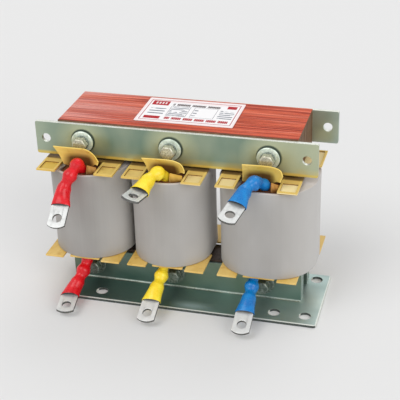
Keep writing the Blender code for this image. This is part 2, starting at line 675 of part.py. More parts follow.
def lug_frame(mouth, aim, roll):
    """Place of a lug: X runs to its tip, Y across it and Z out of its face."""
    way = aim.normalized()
    side = Vector((0, 0, 1)).cross(way).normalized()
    side = Matrix.Rotation(math.radians(roll), 3, way) @ side
    frame = Matrix((way, side, way.cross(side))).transposed().to_4x4()
    frame.translation = mouth
    return frame


def flatten_mouth(sleeve, frame):
    """Press the round end of a sleeve to the flat oval that closes on its lug."""
    inverse = frame.inverted()
    for vert in sleeve.data.vertices:
        place = inverse @ vert.co
        left_over = max(0.0, -place.x)
        if left_over < FLAT_LENGTH:
            place.z *= 1 - (1 - FLAT_MOUTH) * (1 - left_over / FLAT_LENGTH)
            vert.co = frame @ place


def make_sleeve(name, route, frame, phase):
    """Heat-shrink sleeve swept along its route, bored at the mouth for the lug barrel."""
    root = route[0]
    rise = math.copysign(SLEEVE_ROOT, route[1].z - root.z)
    points = smooth_route([root + Vector((0, 0, rise)), *route[1:]], SLEEVE_RINGS)
    step = (points[2] - points[1]).length
    points.insert(0, root)
    data = bpy.data.curves.new(name, "CURVE")
    data.dimensions = "3D"
    data.bevel_depth = 1.0
    data.bevel_resolution = SLEEVE_ROUNDING
    data.use_fill_caps = True
    spline = data.splines.new("POLY")
    spline.points.add(len(points) - 1)
    for i, point in enumerate(points):
        spline.points[i].co = (*point, 1.0)
        spline.points[i].radius = sleeve_radius(step * i, step * (SLEEVE_RINGS + 1 - i))
    sleeve = curve_to_mesh(name, data, SLEEVES[phase], PART)
    flatten_mouth(sleeve, frame)
    bore = BARREL_RADIUS + GAP
    start = (-BARREL_SETBACK - BARREL_LENGTH - GAP, 0, 0)
    length = BARREL_LENGTH + 2 * GAP
    deep = rod(name + "_bore", start, (1, 0, 0), length, bore, bore, ROUND_SIDES, None, TOOLS)
    deep.matrix_world = frame @ deep.matrix_basis
    combine(sleeve, deep, "DIFFERENCE")
    wide = SLEEVE_MOUTH - MOUTH_WALL
    beyond = wide + (wide - MOUTH_BOTTOM) * MOUTH_OVERRUN / MOUTH_DEPTH
    length = MOUTH_DEPTH + MOUTH_OVERRUN
    start = (-MOUTH_DEPTH, 0, 0)
    funnel = rod(name + "_mouth", start, (1, 0, 0), length, MOUTH_BOTTOM, beyond, ROUND_SIDES, None, TOOLS)
    funnel.matrix_world = frame @ Matrix.Diagonal((1, 1, FLAT_FUNNEL, 1)) @ funnel.matrix_basis
    combine(sleeve, funnel, "DIFFERENCE")
    return weld(sleeve)


def palm_outline():
    """Plan of a lug palm: the neck that widens from the barrel, straight sides and a shallow round end."""
    half = LUG_WIDTH / 2
    straight = LUG_LENGTH - LUG_END_RISE
    radius = (half ** 2 + LUG_END_RISE ** 2) / (2 * LUG_END_RISE)
    spread = math.degrees(math.asin(half / radius))
    end = arc(LUG_LENGTH - radius, 0.0, radius, -spread, spread, LUG_END_STEPS)
    left_side = [(x, -y) for x, y in LUG_NECK] + [(straight, -half)]
    right_side = [(straight, half)] + list(reversed(LUG_NECK))
    return left_side + end[1:-1] + right_side


def make_lug(name, frame):
    """Tinned lug: flat palm with its hole, and a barrel that enters the sleeve."""
    hole = circle(LUG_LENGTH - LUG_HOLE_INSET, 0.0, LUG_HOLE)
    lug = extrusion(name, [palm_outline(), hole], LUG_THICKNESS, TIN)
    start = (-BARREL_SETBACK - BARREL_LENGTH, 0, 0)
    radius = BARREL_RADIUS
    barrel = rod(name + "_barrel", start, (1, 0, 0), BARREL_LENGTH, radius, radius, SHANK_SIDES, None, TOOLS)
    combine(lug, barrel, "UNION")
    bevel(weld(lug), LUG_EDGE)
    barrel.matrix_world = frame @ barrel.matrix_basis
    lug.matrix_world = frame
    return lug


def make_leads():
    """Six sleeved leads, each with its lug."""
    upper = ("upper", COIL_TOP, UPPER_ROUTES, UPPER_TIPS, UPPER_ROLLS)
    lower = ("lower", COIL_BOTTOM, LOWER_ROUTES, LOWER_TIPS, LOWER_ROLLS)
    for row, face, routes, tips, rolls in (upper, lower):
        for phase, x in zip(PHASES, COIL_X):
            route = placed(routes[phase], x, face)
            route[0].z = WINDING_TOP + GAP if row == "upper" else WRAP_BOTTOM - GAP
            frame = lug_frame(route[-1], placed([tips[phase]], x, face)[0] - route[-1], rolls[phase])
            make_sleeve(row + "_sleeve_" + phase, route, frame, phase)
            make_lug(row + "_lug_" + phase, frame)


def make_fastener(label, x, z, front, back):
    """Bolt with its spring washer, flat washer in front, and nut behind."""
    washer_back = front - GAP
    loops = [circle(x, z, 2 * WASHER_RADIUS, WASHER_SIDES), circle(x, z, BOLT_HOLE, HIDDEN_SIDES)]
    upright("washer_" + label, loops, washer_back - WASHER_HEIGHT, WASHER_HEIGHT, FASTENER)
    seat = washer_back - WASHER_HEIGHT - GAP
    nut_face = back + GAP
    tail = nut_face + NUT_HEIGHT + BOLT_TAIL
    shank_start = seat - SPRING_HEIGHT / 2
    shank = (x, shank_start, z)
    radius = BOLT_RADIUS
    bolt = rod("bolt_" + label, shank, (0, 1, 0), tail - shank_start, radius, radius, SHANK_SIDES, FASTENER)
    spring_start = (x, seat - SPRING_HEIGHT, z)
    span = (SPRING_HEIGHT, SPRING_RADIUS, SPRING_RADIUS)
    spring = rod("spring_" + label, spring_start, (0, 1, 0), *span, WASHER_SIDES, None, TOOLS)
    combine(bolt, spring, "UNION")
    radius = HEAD_FLATS / math.sqrt(3)
    head_start = (x, seat - SPRING_HEIGHT - HEAD_HEIGHT, z)
    head_length = HEAD_HEIGHT + SPRING_HEIGHT / 4
    head = rod("head_" + label, head_start, (0, 1, 0), head_length, radius, radius, HEX_SIDES, None, TOOLS)
    combine(bolt, bevel(head, HEAD_CHAMFER), "UNION")
    corners = circle(x, z, 2 * radius, HEX_SIDES)
    nut_loops = [corners, circle(x, z, 2 * (BOLT_RADIUS + GAP), SHANK_SIDES)]
    upright("nut_" + label, nut_loops, nut_face, NUT_HEIGHT, FASTENER)


def make_fasteners():
    """Three bolts through the upper bars and three through the base legs."""
    for phase, x in zip(PHASES, UPPER_BOLT_X):
        make_fastener("upper_" + phase, x, UPPER_BOLT_Z, BAR_FRONT, BAR_BACK)
    for phase, x in zip(PHASES, LOWER_BOLT_X):
        make_fastener("lower_" + phase, x, LOWER_BOLT_Z, LEG_FRONT, LEG_BACK + SHEET)


def make_label():
    """Plain rating label lying on the upper yoke."""
    left = LABEL_X - LABEL_LENGTH / 2
    front = LABEL_Y - LABEL_DEPTH / 2
    outline = rectangle(left, left + LABEL_LENGTH, front, front + LABEL_DEPTH, LABEL_CORNER)
    level("rating_label", [outline], CORE_TOP + GAP, LABEL_THICKNESS, PAPER)


def build():
    """Make every piece of the reactor."""
    make_base()
    make_core()
    make_bars()
    for phase, x, width, shift in zip(PHASES, COIL_X, WRAP_WIDTHS, WRAP_SHIFTS):
        make_flanges(phase, x)
        make_coil(phase, x, x + shift, width)
        make_tongue(phase, x)
        make_fold(phase, x)
    make_leads()
    make_fasteners()
    make_label()
    bpy.context.view_layer.update()


build()
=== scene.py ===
import math
import random

import bmesh
import bpy
from mathutils import Matrix, Vector


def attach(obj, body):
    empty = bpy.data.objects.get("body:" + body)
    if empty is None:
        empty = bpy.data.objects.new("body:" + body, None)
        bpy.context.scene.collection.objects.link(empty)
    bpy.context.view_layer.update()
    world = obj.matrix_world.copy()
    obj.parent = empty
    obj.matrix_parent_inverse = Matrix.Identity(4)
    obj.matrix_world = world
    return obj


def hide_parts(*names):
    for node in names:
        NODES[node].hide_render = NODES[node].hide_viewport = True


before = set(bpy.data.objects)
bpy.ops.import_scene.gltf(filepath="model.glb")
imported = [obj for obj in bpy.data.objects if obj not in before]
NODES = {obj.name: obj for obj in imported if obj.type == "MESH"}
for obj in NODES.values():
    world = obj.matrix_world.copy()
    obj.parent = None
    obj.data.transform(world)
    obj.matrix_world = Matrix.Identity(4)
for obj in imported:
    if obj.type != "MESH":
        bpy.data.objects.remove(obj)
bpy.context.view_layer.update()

PHASES = ("a", "b", "c")
dice = random.Random(7)

# Lengths are in millimetres, and MM turns them into the frame's metres.
MM = 0.001
COIL_X = (-88.2, -1.9, 89.6)
UPPER_BOLTS, UPPER_BOLT_Z = (-90.5, -1.7, 93.7), 156.5
LOWER_BOLTS, LOWER_BOLT_Z = (-87.0, -2.5, 89.0), 19.0
WRAP_FRONT, WRAP_BACK = -70.5, 23.5
WRAP_LOW, WRAP_HIGH = 42.4, 133.7
TRAY_FLOOR, SHELF_TOP = 137.0, 137.85
LABEL_LEFT, LABEL_RIGHT, LABEL_FRONT, LABEL_BACK = -43.25, 55.25, -24.5, 33.5


# ---------------------------------------------------------------- camera, light and floor

CAMERA_RIGHT = Vector((0.96406677, 0.26402749, -0.02940646))
CAMERA_UP = Vector((-0.0976962, 0.45529119, 0.88496632))
CAMERA_PLACE = Vector((281.709, -920.911, 585.668))
CAMERA_LENS, CAMERA_FILM = 96.23, 36.0
PAPER_WHITE = (0.806, 0.806, 0.806, 1.0)
FLOOR_WHITE = (0.775, 0.775, 0.775)
FLOOR_REACH_M, FLOOR_DROP = 6.0, 0.2
AMBIENT = 0.62
# Name, direction that the light comes from, strength and width in degrees.
SUNS = (("key_light", (-0.45, -0.55, 0.95), 0.90, 40),
        ("fill_light", (0.75, -0.70, 0.55), 0.90, 40),
        ("rim_light", (0.10, 0.80, 0.90), 0.35, 30))


def stand(name, data):
    """Object in the scene from its data."""
    made = bpy.data.objects.new(name, data)
    bpy.context.scene.collection.objects.link(made)
    return made


def axes_at(first, second, third, place):
    """Matrix of three axes and a place in millimetres."""
    turn = Matrix((first, second, third)).transposed().to_4x4()
    turn.translation = place * MM
    return turn


def place_camera():
    """Camera at the photograph's viewpoint."""
    data = bpy.data.cameras.new("camera")
    data.lens = CAMERA_LENS
    data.sensor_width = CAMERA_FILM
    camera = stand("camera", data)
    back = CAMERA_RIGHT.cross(CAMERA_UP)
    camera.matrix_world = axes_at(CAMERA_RIGHT, CAMERA_UP, back, CAMERA_PLACE)
    bpy.context.scene.camera = camera


def add_sun(name, toward, strength, width):
    """Soft sun that shines from a direction."""
    data = bpy.data.lights.new(name, "SUN")
    data.energy = strength
    data.angle = math.radians(width)
    lamp = stand(name, data)
    lamp.rotation_mode = "QUATERNION"
    lamp.rotation_quaternion = Vector(toward).to_track_quat("Z", "Y")


def light_studio():
    """Plain soft studio light on a pale backdrop."""
    world = bpy.data.worlds.new("studio")
    bpy.context.scene.world = world
    world.use_nodes = True
    tree = world.node_tree
    tree.nodes.clear()
    rays = tree.nodes.new("ShaderNodeLightPath")
    shown = tree.nodes.new("ShaderNodeBackground")
    shown.inputs["Color"].default_value = PAPER_WHITE
    lit = tree.nodes.new("ShaderNodeBackground")
    lit.inputs["Color"].default_value = (1.0, 1.0, 1.0, 1.0)
    lit.inputs["Strength"].default_value = AMBIENT
    mirror = tree.nodes.new("ShaderNodeMath")
    mirror.operation = "MAXIMUM"
    either = tree.nodes.new("ShaderNodeMath")
    either.operation = "MAXIMUM"
    mix = tree.nodes.new("ShaderNodeMixShader")
    output = tree.nodes.new("ShaderNodeOutputWorld")
    link = tree.links.new
    link(rays.outputs["Is Glossy Ray"], mirror.inputs[0])
    link(rays.outputs["Is Transmission Ray"], mirror.inputs[1])
    link(rays.outputs["Is Camera Ray"], either.inputs[0])
    link(mirror.outputs[0], either.inputs[1])
    link(either.outputs[0], mix.inputs["Fac"])
    link(lit.outputs[0], mix.inputs[1])
    link(shown.outputs[0], mix.inputs[2])
    link(mix.outputs[0], output.inputs["Surface"])
    for sun in SUNS:
        add_sun(*sun)


def lay_floor():
    """Plain pale floor under the reactor."""
    work = bmesh.new()
    bmesh.ops.create_grid(work, x_segments=4, y_segments=4, size=FLOOR_REACH_M)
    bmesh.ops.translate(work, vec=(0, 0, -FLOOR_DROP * MM), verts=work.verts)
    floor = new_piece("floor", work)
    pale = Finish("pale_floor", FLOOR_WHITE, 0.9)
    pale.set("Specular IOR Level", 0.0)
    floor.data.materials.append(pale.material)


# ---------------------------------------------------------------- shader maths

class Value:
    """A socket of a finish. Its operators add the Math nodes that work them out."""

    def __init__(self, finish, socket):
        self.finish = finish
        self.socket = socket

    def math(self, operation, first, second=0.0):
        return self.finish.add("ShaderNodeMath", {"operation": operation}, {0: first, 1: second})

    def __add__(self, other):
        return self.math("ADD", self, other)

    def __radd__(self, other):
        return self.math("ADD", other, self)

    def __sub__(self, other):
        return self.math("SUBTRACT", self, other)

    def __rsub__(self, other):
        return self.math("SUBTRACT", other, self)

    def __mul__(self, other):
        return self.math("MULTIPLY", self, other)

    def __rmul__(self, other):
        return self.math("MULTIPLY", other, self)

    def __truediv__(self, other):
        return self.math("DIVIDE", self, other)

    def __gt__(self, other):
        return self.math("GREATER_THAN", self, other)

    def __lt__(self, other):
        return self.math("LESS_THAN", self, other)

    def __abs__(self):
        return self.math("ABSOLUTE", self)

    def most(self, other):
        return self.math("MAXIMUM", self, other)

    def least(self, other):
        return self.math("MINIMUM", self, other)

    def root(self):
        return self.math("POWER", self, 0.5)

    def wrapped(self, period):
        return self.math("FLOORED_MODULO", self, period)

    def part(self, axis):
        """X, Y or Z of a vector."""
        return self.finish.add("ShaderNodeSeparateXYZ", {}, {"Vector": self}, axis)


class Finish:
    """A Principled material whose nodes are written as expressions."""

    def __init__(self, name, color, roughness, metallic=0.0):
        self.material = bpy.data.materials.new(name)
        self.material.use_nodes = True
        self.tree = self.material.node_tree
        self.shader = self.tree.nodes["Principled BSDF"]
        self.set("Base Color", color)
        self.set("Roughness", roughness)
        self.set("Metallic", metallic)

    def set(self, socket, value):
        """Put a number, a colour or a Value on a socket of the shader."""
        self.feed(self.shader.inputs[socket], value)

    def feed(self, socket, value):
        if isinstance(value, Value):
            self.tree.links.new(value.socket, socket)
        elif isinstance(value, tuple) and len(value) == 3 and socket.type == "RGBA":
            socket.default_value = (*value, 1.0)
        else:
            socket.default_value = value

    def add(self, kind, settings, inputs, output=0):
        """Add one node with its settings and inputs, and give back one of its outputs."""
        node = self.tree.nodes.new(kind)
        for name, setting in settings.items():
            setattr(node, name, setting)
        for place, value in inputs.items():
            self.feed(node.inputs[place], value)
        return Value(self, node.outputs[output])

    def place(self, stretch=(1.0, 1.0, 1.0)):
        """Position on the reactor in millimetres, stretched along its axes."""
        here = self.add("ShaderNodeTexCoord", {}, {}, "Object")
        scale = tuple(1000.0 * s for s in stretch)
        return self.add("ShaderNodeVectorMath", {"operation": "MULTIPLY"}, {0: here, 1: scale})

    def noise(self, size, stretch=(1.0, 1.0, 1.0), detail=3.0, rough=0.5):
        """Cloudy value round a half, with features of a size in millimetres."""
        inputs = {"Vector": self.place(stretch), "Scale": 1.0 / size, "Detail": detail, "Roughness": rough}
        return self.add("ShaderNodeTexNoise", {}, inputs, "Fac")

    def ramp(self, value, low, high):
        """Value stretched so that low gives 0 and high gives 1."""
        inputs = {"Value": value, "From Min": low, "From Max": high}
        return self.add("ShaderNodeMapRange", {"clamp": True}, inputs, "Result")

    def blend(self, amount, first, second):
        """Colour between two colours."""
        return self.add("ShaderNodeMix", {"data_type": "RGBA"}, {0: amount, 6: first, 7: second}, 2)

    def facing(self):
        """Direction that the surface faces."""
        return self.add("ShaderNodeNewGeometry", {}, {}, "Normal")

    def bump(self, height, depth, strength=1.0):
        """Relief of a depth in millimetres."""
        inputs = {"Height": height, "Distance": depth * MM, "Strength": strength}
        self.set("Normal", self.add("ShaderNodeBump", {}, inputs))


# ---------------------------------------------------------------- metal finishes

ZINC_METALLIC = 0.85


def rolled_grain(zinc):
    """Fine lines that the rolling left along the sheet."""
    return zinc.noise(0.9, (0.08, 1.0, 1.0), 4.0, 0.7)


def zinc_finish(name, dark, light, stain_and_shade, roughness):
    """Passivated zinc: cloudy green-grey with warm patches, rolling lines and fine handling marks."""
    zinc = Finish(name, light, roughness, ZINC_METALLIC)
    cloud = zinc.ramp(zinc.noise(38.0, (1.0, 1.0, 1.4), 2.0), 0.32, 0.68)
    bloom_and_reflection = zinc.ramp(zinc.noise(55.0, (1.0, 1.0, 0.8), 1.0), 0.52, 0.78)
    grain = rolled_grain(zinc)
    marks = zinc.ramp(zinc.noise(2.4, (0.35, 1.0, 1.0), 3.0), 0.60, 0.74)
    tone = zinc.blend(cloud, dark, light)
    tone = zinc.blend(bloom_and_reflection * 0.55, tone, stain_and_shade)
    tone = zinc.blend(grain * 0.22, tone, dark)
    zinc.set("Base Color", zinc.blend(marks * 0.18, tone, light))
    zinc.set("Roughness", roughness - 0.06 + cloud * 0.10 + marks * 0.10)
    zinc.bump(grain, 0.02, 0.5)
    return zinc.material


def clamp_finish():
    """Zinc of the front clamp: paler round the bolts, a painted reflection of the yellow trays low down, a
    painted shadow ring at each washer.
    """
    shadow, sheet, scratch = (0.18, 0.27, 0.21), (0.31, 0.38, 0.29), (0.20, 0.26, 0.20)
    right_end, left_end, halo = (0.66, 0.68, 0.46), (0.50, 0.56, 0.42), (0.58, 0.61, 0.40)
    washer_shadow, reflected_gold = (0.03, 0.05, 0.04), (0.80, 0.58, 0.10)
    zinc = Finish("clamp_zinc", (0.36, 0.44, 0.34), 0.36, 0.60)
    across, height = zinc.place().part("X"), zinc.place().part("Z")
    cloud = zinc.ramp(zinc.noise(34.0, (1.0, 1.0, 0.7), 2.0), 0.34, 0.66)
    grain = rolled_grain(zinc)
    tone = zinc.blend(cloud, shadow, sheet)
    tone = zinc.blend(zinc.ramp(across, 70.0, 135.0) * 0.6, tone, right_end)
    tone = zinc.blend(zinc.ramp(across, -105.0, -135.0) * 0.5, tone, left_end)
    # Painted reflection of the yellow trays: a warm cloudy band low down that fades out towards the left end,
    # and a narrow band at the bottom edge.
    low = zinc.ramp(height, 149.0, 142.0) * zinc.ramp(across, -85.0, -40.0)
    bloom_and_reflection = low * zinc.ramp(zinc.noise(26.0, (1.0, 1.0, 0.5), 1.0), 0.28, 0.50) * 0.55
    bloom_and_reflection = bloom_and_reflection.most(zinc.ramp(height, 144.2, 142.2) * 0.85)
    # Round each washer: a paler zone, and a painted shadow ring shifted a little up and to the right.
    for bolt in UPPER_BOLTS:
        aside, above = across - (bolt + 0.5), height - (UPPER_BOLT_Z + 0.7)
        away = (aside * aside + above * above).root()
        tone = zinc.blend(zinc.ramp(away, 30.0, 13.0) * 0.75, tone, halo)
        tone = zinc.blend(zinc.ramp(away, 13.0, 11.6) * 0.95, tone, washer_shadow)
    tone = zinc.blend(bloom_and_reflection, tone, reflected_gold)
    zinc.set("Base Color", zinc.blend(grain * 0.16, tone, scratch))
    zinc.set("Roughness", 0.32 + cloud * 0.12)
    zinc.bump(grain, 0.02, 0.5)
    return zinc.material


def foot_finish():
    """Zinc of the foot: dark teal on the left, paler to the right, a painted reflection in front, and painted
    highlights along the plate's front and right edges.
    """
    left_end, middle, right_end = (0.065, 0.135, 0.125), (0.28, 0.42, 0.40), (0.56, 0.68, 0.66)
    back_shade, cloudy, scratch = (0.22, 0.30, 0.29), (0.14, 0.24, 0.22), (0.60, 0.70, 0.66)
    patch, highlight_tone = (0.40, 0.52, 0.54), (0.80, 0.84, 0.80)
    zinc = Finish("foot_zinc", (0.26, 0.40, 0.38), 0.36, ZINC_METALLIC)
    across, along = zinc.place().part("X"), zinc.place().part("Y")
    cloud = zinc.ramp(zinc.noise(30.0, (0.7, 1.0, 1.0), 2.0), 0.30, 0.70)
    grain = rolled_grain(zinc)
    tone = zinc.blend(zinc.ramp(across, -95.0, 60.0), left_end, middle)
    tone = zinc.blend(zinc.ramp(across, 60.0, 118.0), tone, right_end)
    # Painted shade, darker towards the back.
    tone = zinc.blend(zinc.ramp(along, -45.0, 5.0) * 0.45, tone, back_shade)
    tone = zinc.blend(cloud * 0.35, tone, cloudy)
    tone = zinc.blend(grain * 0.15, tone, scratch)
    # Painted reflection: a pale patch in front, where the metal is also made less metallic.
    shine = zinc.ramp(abs(across - 23.0), 24.0, 4.0) * zinc.ramp(abs(along + 72.5), 9.0, 1.0)
    tone = zinc.blend(shine * 0.6, tone, patch)
    # Painted highlight along the front and right edges of the plate's top.
    edge_highlight = zinc.ramp(along, -78.4, -79.0).most(zinc.ramp(across, 146.4, 147.0))
    zinc.set("Base Color", zinc.blend(edge_highlight, tone, highlight_tone))
    zinc.set("Metallic", ZINC_METALLIC - (edge_highlight * 0.75).most(shine * 0.45))
    zinc.set("Roughness", 0.36 + cloud * 0.12)
    zinc.bump(grain, 0.02, 0.5)
    return zinc.material


def core_paint_finish():
    """Brick-red oxide paint brushed along the laminations, worn thinner on their edges."""
    deep, brick, seam = (0.42, 0.036, 0.014), (0.74, 0.135, 0.062), (0.24, 0.012, 0.006)
    thin, faded, glare = (0.90, 0.29, 0.19), (0.80, 0.24, 0.15), (0.84, 0.42, 0.38)
    front_shade_dark = (0.08, 0.015, 0.010)
    paint = Finish("red_core_paint", (0.60, 0.10, 0.05), 0.50)
    across = paint.place().part("X")
    lines = paint.noise(2.4, (0.030, 1.0, 1.0), 4.0, 0.65)
    streaks = paint.noise(5.5, (0.040, 1.0, 1.0), 4.0, 0.7)
    wide = paint.noise(13.0, (0.05, 1.0, 1.0), 2.0, 0.6)
    tone = paint.blend(paint.ramp(streaks, 0.38, 0.60), deep, brick)
    tone = paint.blend(paint.ramp(lines, 0.49, 0.38) * 0.85, tone, seam)
    tone = paint.blend(paint.ramp(lines, 0.56, 0.64) * 0.60, tone, thin)
    tone = paint.blend(paint.ramp(wide, 0.52, 0.70) * 0.40, tone, faded)
    sheen = paint.ramp(across, 0.0, -100.0) * paint.ramp(wide, 0.34, 0.56)
    tone = paint.blend(sheen * 0.65, tone, glare)
    # Painted shade along the front edge of the top.
    painted_front_shade = paint.ramp(paint.place().part("Y"), -35.0, -36.6)
    paint.set("Base Color", paint.blend(painted_front_shade * 0.85, tone, front_shade_dark))
    paint.set("Roughness", 0.42 + streaks * 0.25)
    paint.set("Specular IOR Level", 0.22)
    paint.bump(lines, 0.10, 0.6)
    return paint.material


def core_edge_finish(name, dark, light):
    """Varnished sheet edges with the seams between the laminations."""
    steel = Finish(name, light, 0.52, 0.15)
    seams = steel.noise(1.1, (0.05, 1.0, 0.05), 4.0, 0.7)
    drips = steel.ramp(steel.noise(11.0, (1.0, 1.0, 0.35), 2.0), 0.40, 0.66)
    tone = steel.blend(steel.ramp(seams, 0.34, 0.64), dark, light)
    steel.set("Base Color", steel.blend(drips * 0.35, tone, dark))
    steel.set("Roughness", 0.40 + seams * 0.25)
    steel.bump(seams, 0.10, 0.7)
    return steel.material


def tin_finish(name, light, dark):
    """Satin tin plate with fine draw lines and a few duller patches."""
    tin = Finish(name, light, 0.40, 0.75)
    draw = tin.noise(0.8, (1.0, 0.10, 0.10), 3.0, 0.7)
    dull = tin.ramp(tin.noise(7.0, detail=2.0), 0.46, 0.72)
    tone = tin.blend(dull, light, dark)
    tin.set("Base Color", tin.blend(tin.ramp(draw, 0.52, 0.75) * 0.20, tone, (0.50, 0.50, 0.50)))
    tin.set("Roughness", 0.38 + dull * 0.10 + draw * 0.05)
    tin.bump(draw, 0.02, 0.4)
    return tin.material


def grained_finish(name, dark, light, grain, roughness, metallic):
    """Surface speckled between two close colours, for cut edges, fasteners, tray walls and sleeve mouths."""
    skin = Finish(name, light, roughness, metallic)
    speckle = skin.noise(grain, detail=3.0, rough=0.65)
    patch = skin.ramp(skin.noise(grain * 6.0, detail=1.0), 0.40, 0.65)
    tone = skin.blend(skin.ramp(speckle, 0.38, 0.62), dark, light)
    skin.set("Base Color", skin.blend(patch * 0.25, tone, dark))
    skin.set("Roughness", roughness + speckle * 0.10)
    skin.bump(speckle, 0.03, 0.5)
    return skin.material


# ---------------------------------------------------------------- tape, plastic and print finishes

def tape_finish(name, dark, light):
    """Matt grey tape: fine cloth weave, faint upright streaks, a painted highlight at the rim and painted
    light on the right side.
    """
    thread, painted_right_light_grey, rim_highlight_grey = (0.50, 0.485, 0.465), (0.62, 0.605, 0.585), (0.56, 0.52, 0.49)
    tape = Finish(name, light, 0.62)
    streaks = tape.noise(2.2, (1.0, 1.0, 0.02), 2.0)
    clouds = tape.ramp(tape.noise(30.0, (1.0, 1.0, 0.6), 2.0), 0.30, 0.70)
    weave = tape.add("ShaderNodeTexWave", {"bands_direction": "Z"},
                     {"Vector": tape.place(), "Scale": 0.9, "Distortion": 0.6, "Detail": 1.0}, "Fac")
    # Painted highlight on the rim, and painted light on the faces that look to the right.
    rim = tape.ramp(tape.place().part("Z"), WRAP_HIGH - 1.1, WRAP_HIGH - 0.2)
    painted_right_light = tape.ramp(tape.facing().part("X"), 0.30, 0.95)
    tone = tape.blend(clouds, dark, light)
    tone = tape.blend(tape.ramp(streaks, 0.30, 0.70) * 0.10, tone, thread)
    tone = tape.blend(painted_right_light * 0.55, tone, painted_right_light_grey)
    tape.set("Base Color", tape.blend(rim, tone, rim_highlight_grey))
    tape.set("Roughness", 0.55 + streaks * 0.14)
    tape.set("Sheen Weight", 0.15)
    tape.set("Sheen Roughness", 0.5)
    tape.bump(weave * 0.5 + streaks, 0.020, 0.4)
    return tape.material


def winding_finish(name, center):
    """Varnished turns of the winding, brown over copper, under grey tape beside the lead notch."""
    wire = Finish(name, (0.16, 0.06, 0.03), 0.42, 0.15)
    turns = wire.add("ShaderNodeTexWave", {"bands_direction": "Z", "wave_profile": "SIN"},
                     {"Vector": wire.place(), "Scale": 0.13, "Distortion": 0.4}, "Fac")
    runs = wire.ramp(wire.noise(5.0), 0.40, 0.66)
    tone = wire.blend(turns, (0.07, 0.025, 0.012), (0.24, 0.09, 0.04))
    tone = wire.blend(runs * 0.5, tone, (0.10, 0.035, 0.015))
    taped = wire.ramp(abs(wire.place().part("X") - center), 20.0, 21.0)
    wire.set("Base Color", wire.blend(taped, tone, (0.56, 0.54, 0.52)))
    wire.bump(turns, 0.35)
    return wire.material


def moulding_finish(name, tones, roughness, painted_tray_light=None, stain_and_shade=None):
    """Ochre glass-filled moulding of a base, a pale and a deep colour, with faint flow lines.

    Painted tray light gives pale tray floors, paler to the right, and amber rims, and a painted shadow
    darkens the strip behind the clamp. A painted shade, given as the sheet's middle, upper and lower height,
    browns it towards its foot, most beside the lead.
    """
    base, pale, deep = tones
    lit_floor_cream, rim_amber = (0.96, 0.79, 0.42), (0.90, 0.68, 0.25)
    clamp_shadow_brown, painted_shade_brown = (0.06, 0.028, 0.010), (0.17, 0.075, 0.020)
    plastic = Finish(name, base, roughness)
    here = plastic.place()
    across, along, height = here.part("X"), here.part("Y"), here.part("Z")
    flow = plastic.ramp(plastic.noise(16.0, (1.0, 0.5, 1.0), 3.0), 0.32, 0.70)
    fleck = plastic.ramp(plastic.noise(0.9, detail=2.0), 0.58, 0.72)
    amber = plastic.ramp(plastic.noise(7.0, detail=2.0), 0.56, 0.76)
    tone = plastic.blend(flow, base, pale)
    tone = plastic.blend(amber * 0.60, tone, deep)
    tone = plastic.blend(fleck * 0.20, tone, pale)
    if painted_tray_light is not None:
        # Painted light on the tray floors, stronger to the right.
        floor = (height < TRAY_FLOOR + 0.2) * (height > TRAY_FLOOR - 0.6)
        painted_floor_light = floor * plastic.ramp(across, -90.0, 110.0) * painted_tray_light
        tone = plastic.blend(painted_floor_light, tone, lit_floor_cream)
        tone = plastic.blend((height > TRAY_FLOOR + 0.7) * 0.45, tone, rim_amber)
        # Painted shadow on the strip under the clamp's lower edge.
        under = plastic.ramp(along, -47.0, -44.5) * plastic.ramp(along, -32.0, -36.0)
        tone = plastic.blend(under * 0.85, tone, clamp_shadow_brown)
    if stain_and_shade is not None:
        # Painted shade low on the sheet, strongest beside the lead.
        middle, high, low = stain_and_shade
        near = plastic.ramp(abs(across - middle), 16.0, 9.0)
        amount = plastic.ramp(height, high, low) * (0.12 + near * 0.90)
        tone = plastic.blend(amount.least(0.95), tone, painted_shade_brown)
    plastic.set("Base Color", tone)
    plastic.set("Roughness", roughness - 0.05 + flow * 0.12)
    plastic.set("Specular IOR Level", 0.35)
    plastic.bump(fleck * 0.4 + flow, 0.05, 0.4)
    return plastic.material


def sleeve_finish(name, color, deep, bright):
    """Heat-shrink sleeve: soft gloss, cloudy, with fine paler creases."""
    sleeve = Finish(name, color, 0.30)
    cloud = sleeve.ramp(sleeve.noise(7.0, detail=2.0), 0.34, 0.68)
    fine = sleeve.noise(1.1)
    tone = sleeve.blend(cloud, deep, color)
    sleeve.set("Base Color", sleeve.blend(sleeve.ramp(fine, 0.58, 0.80) * 0.25, tone, bright))
    sleeve.set("Roughness", 0.22 + fine * 0.12)
    sleeve.set("Specular IOR Level", 0.42)
    sleeve.set("Coat Weight", 0.12)
    sleeve.set("Coat Roughness", 0.10)
    sleeve.bump(fine, 0.03, 0.5)
    return sleeve.material


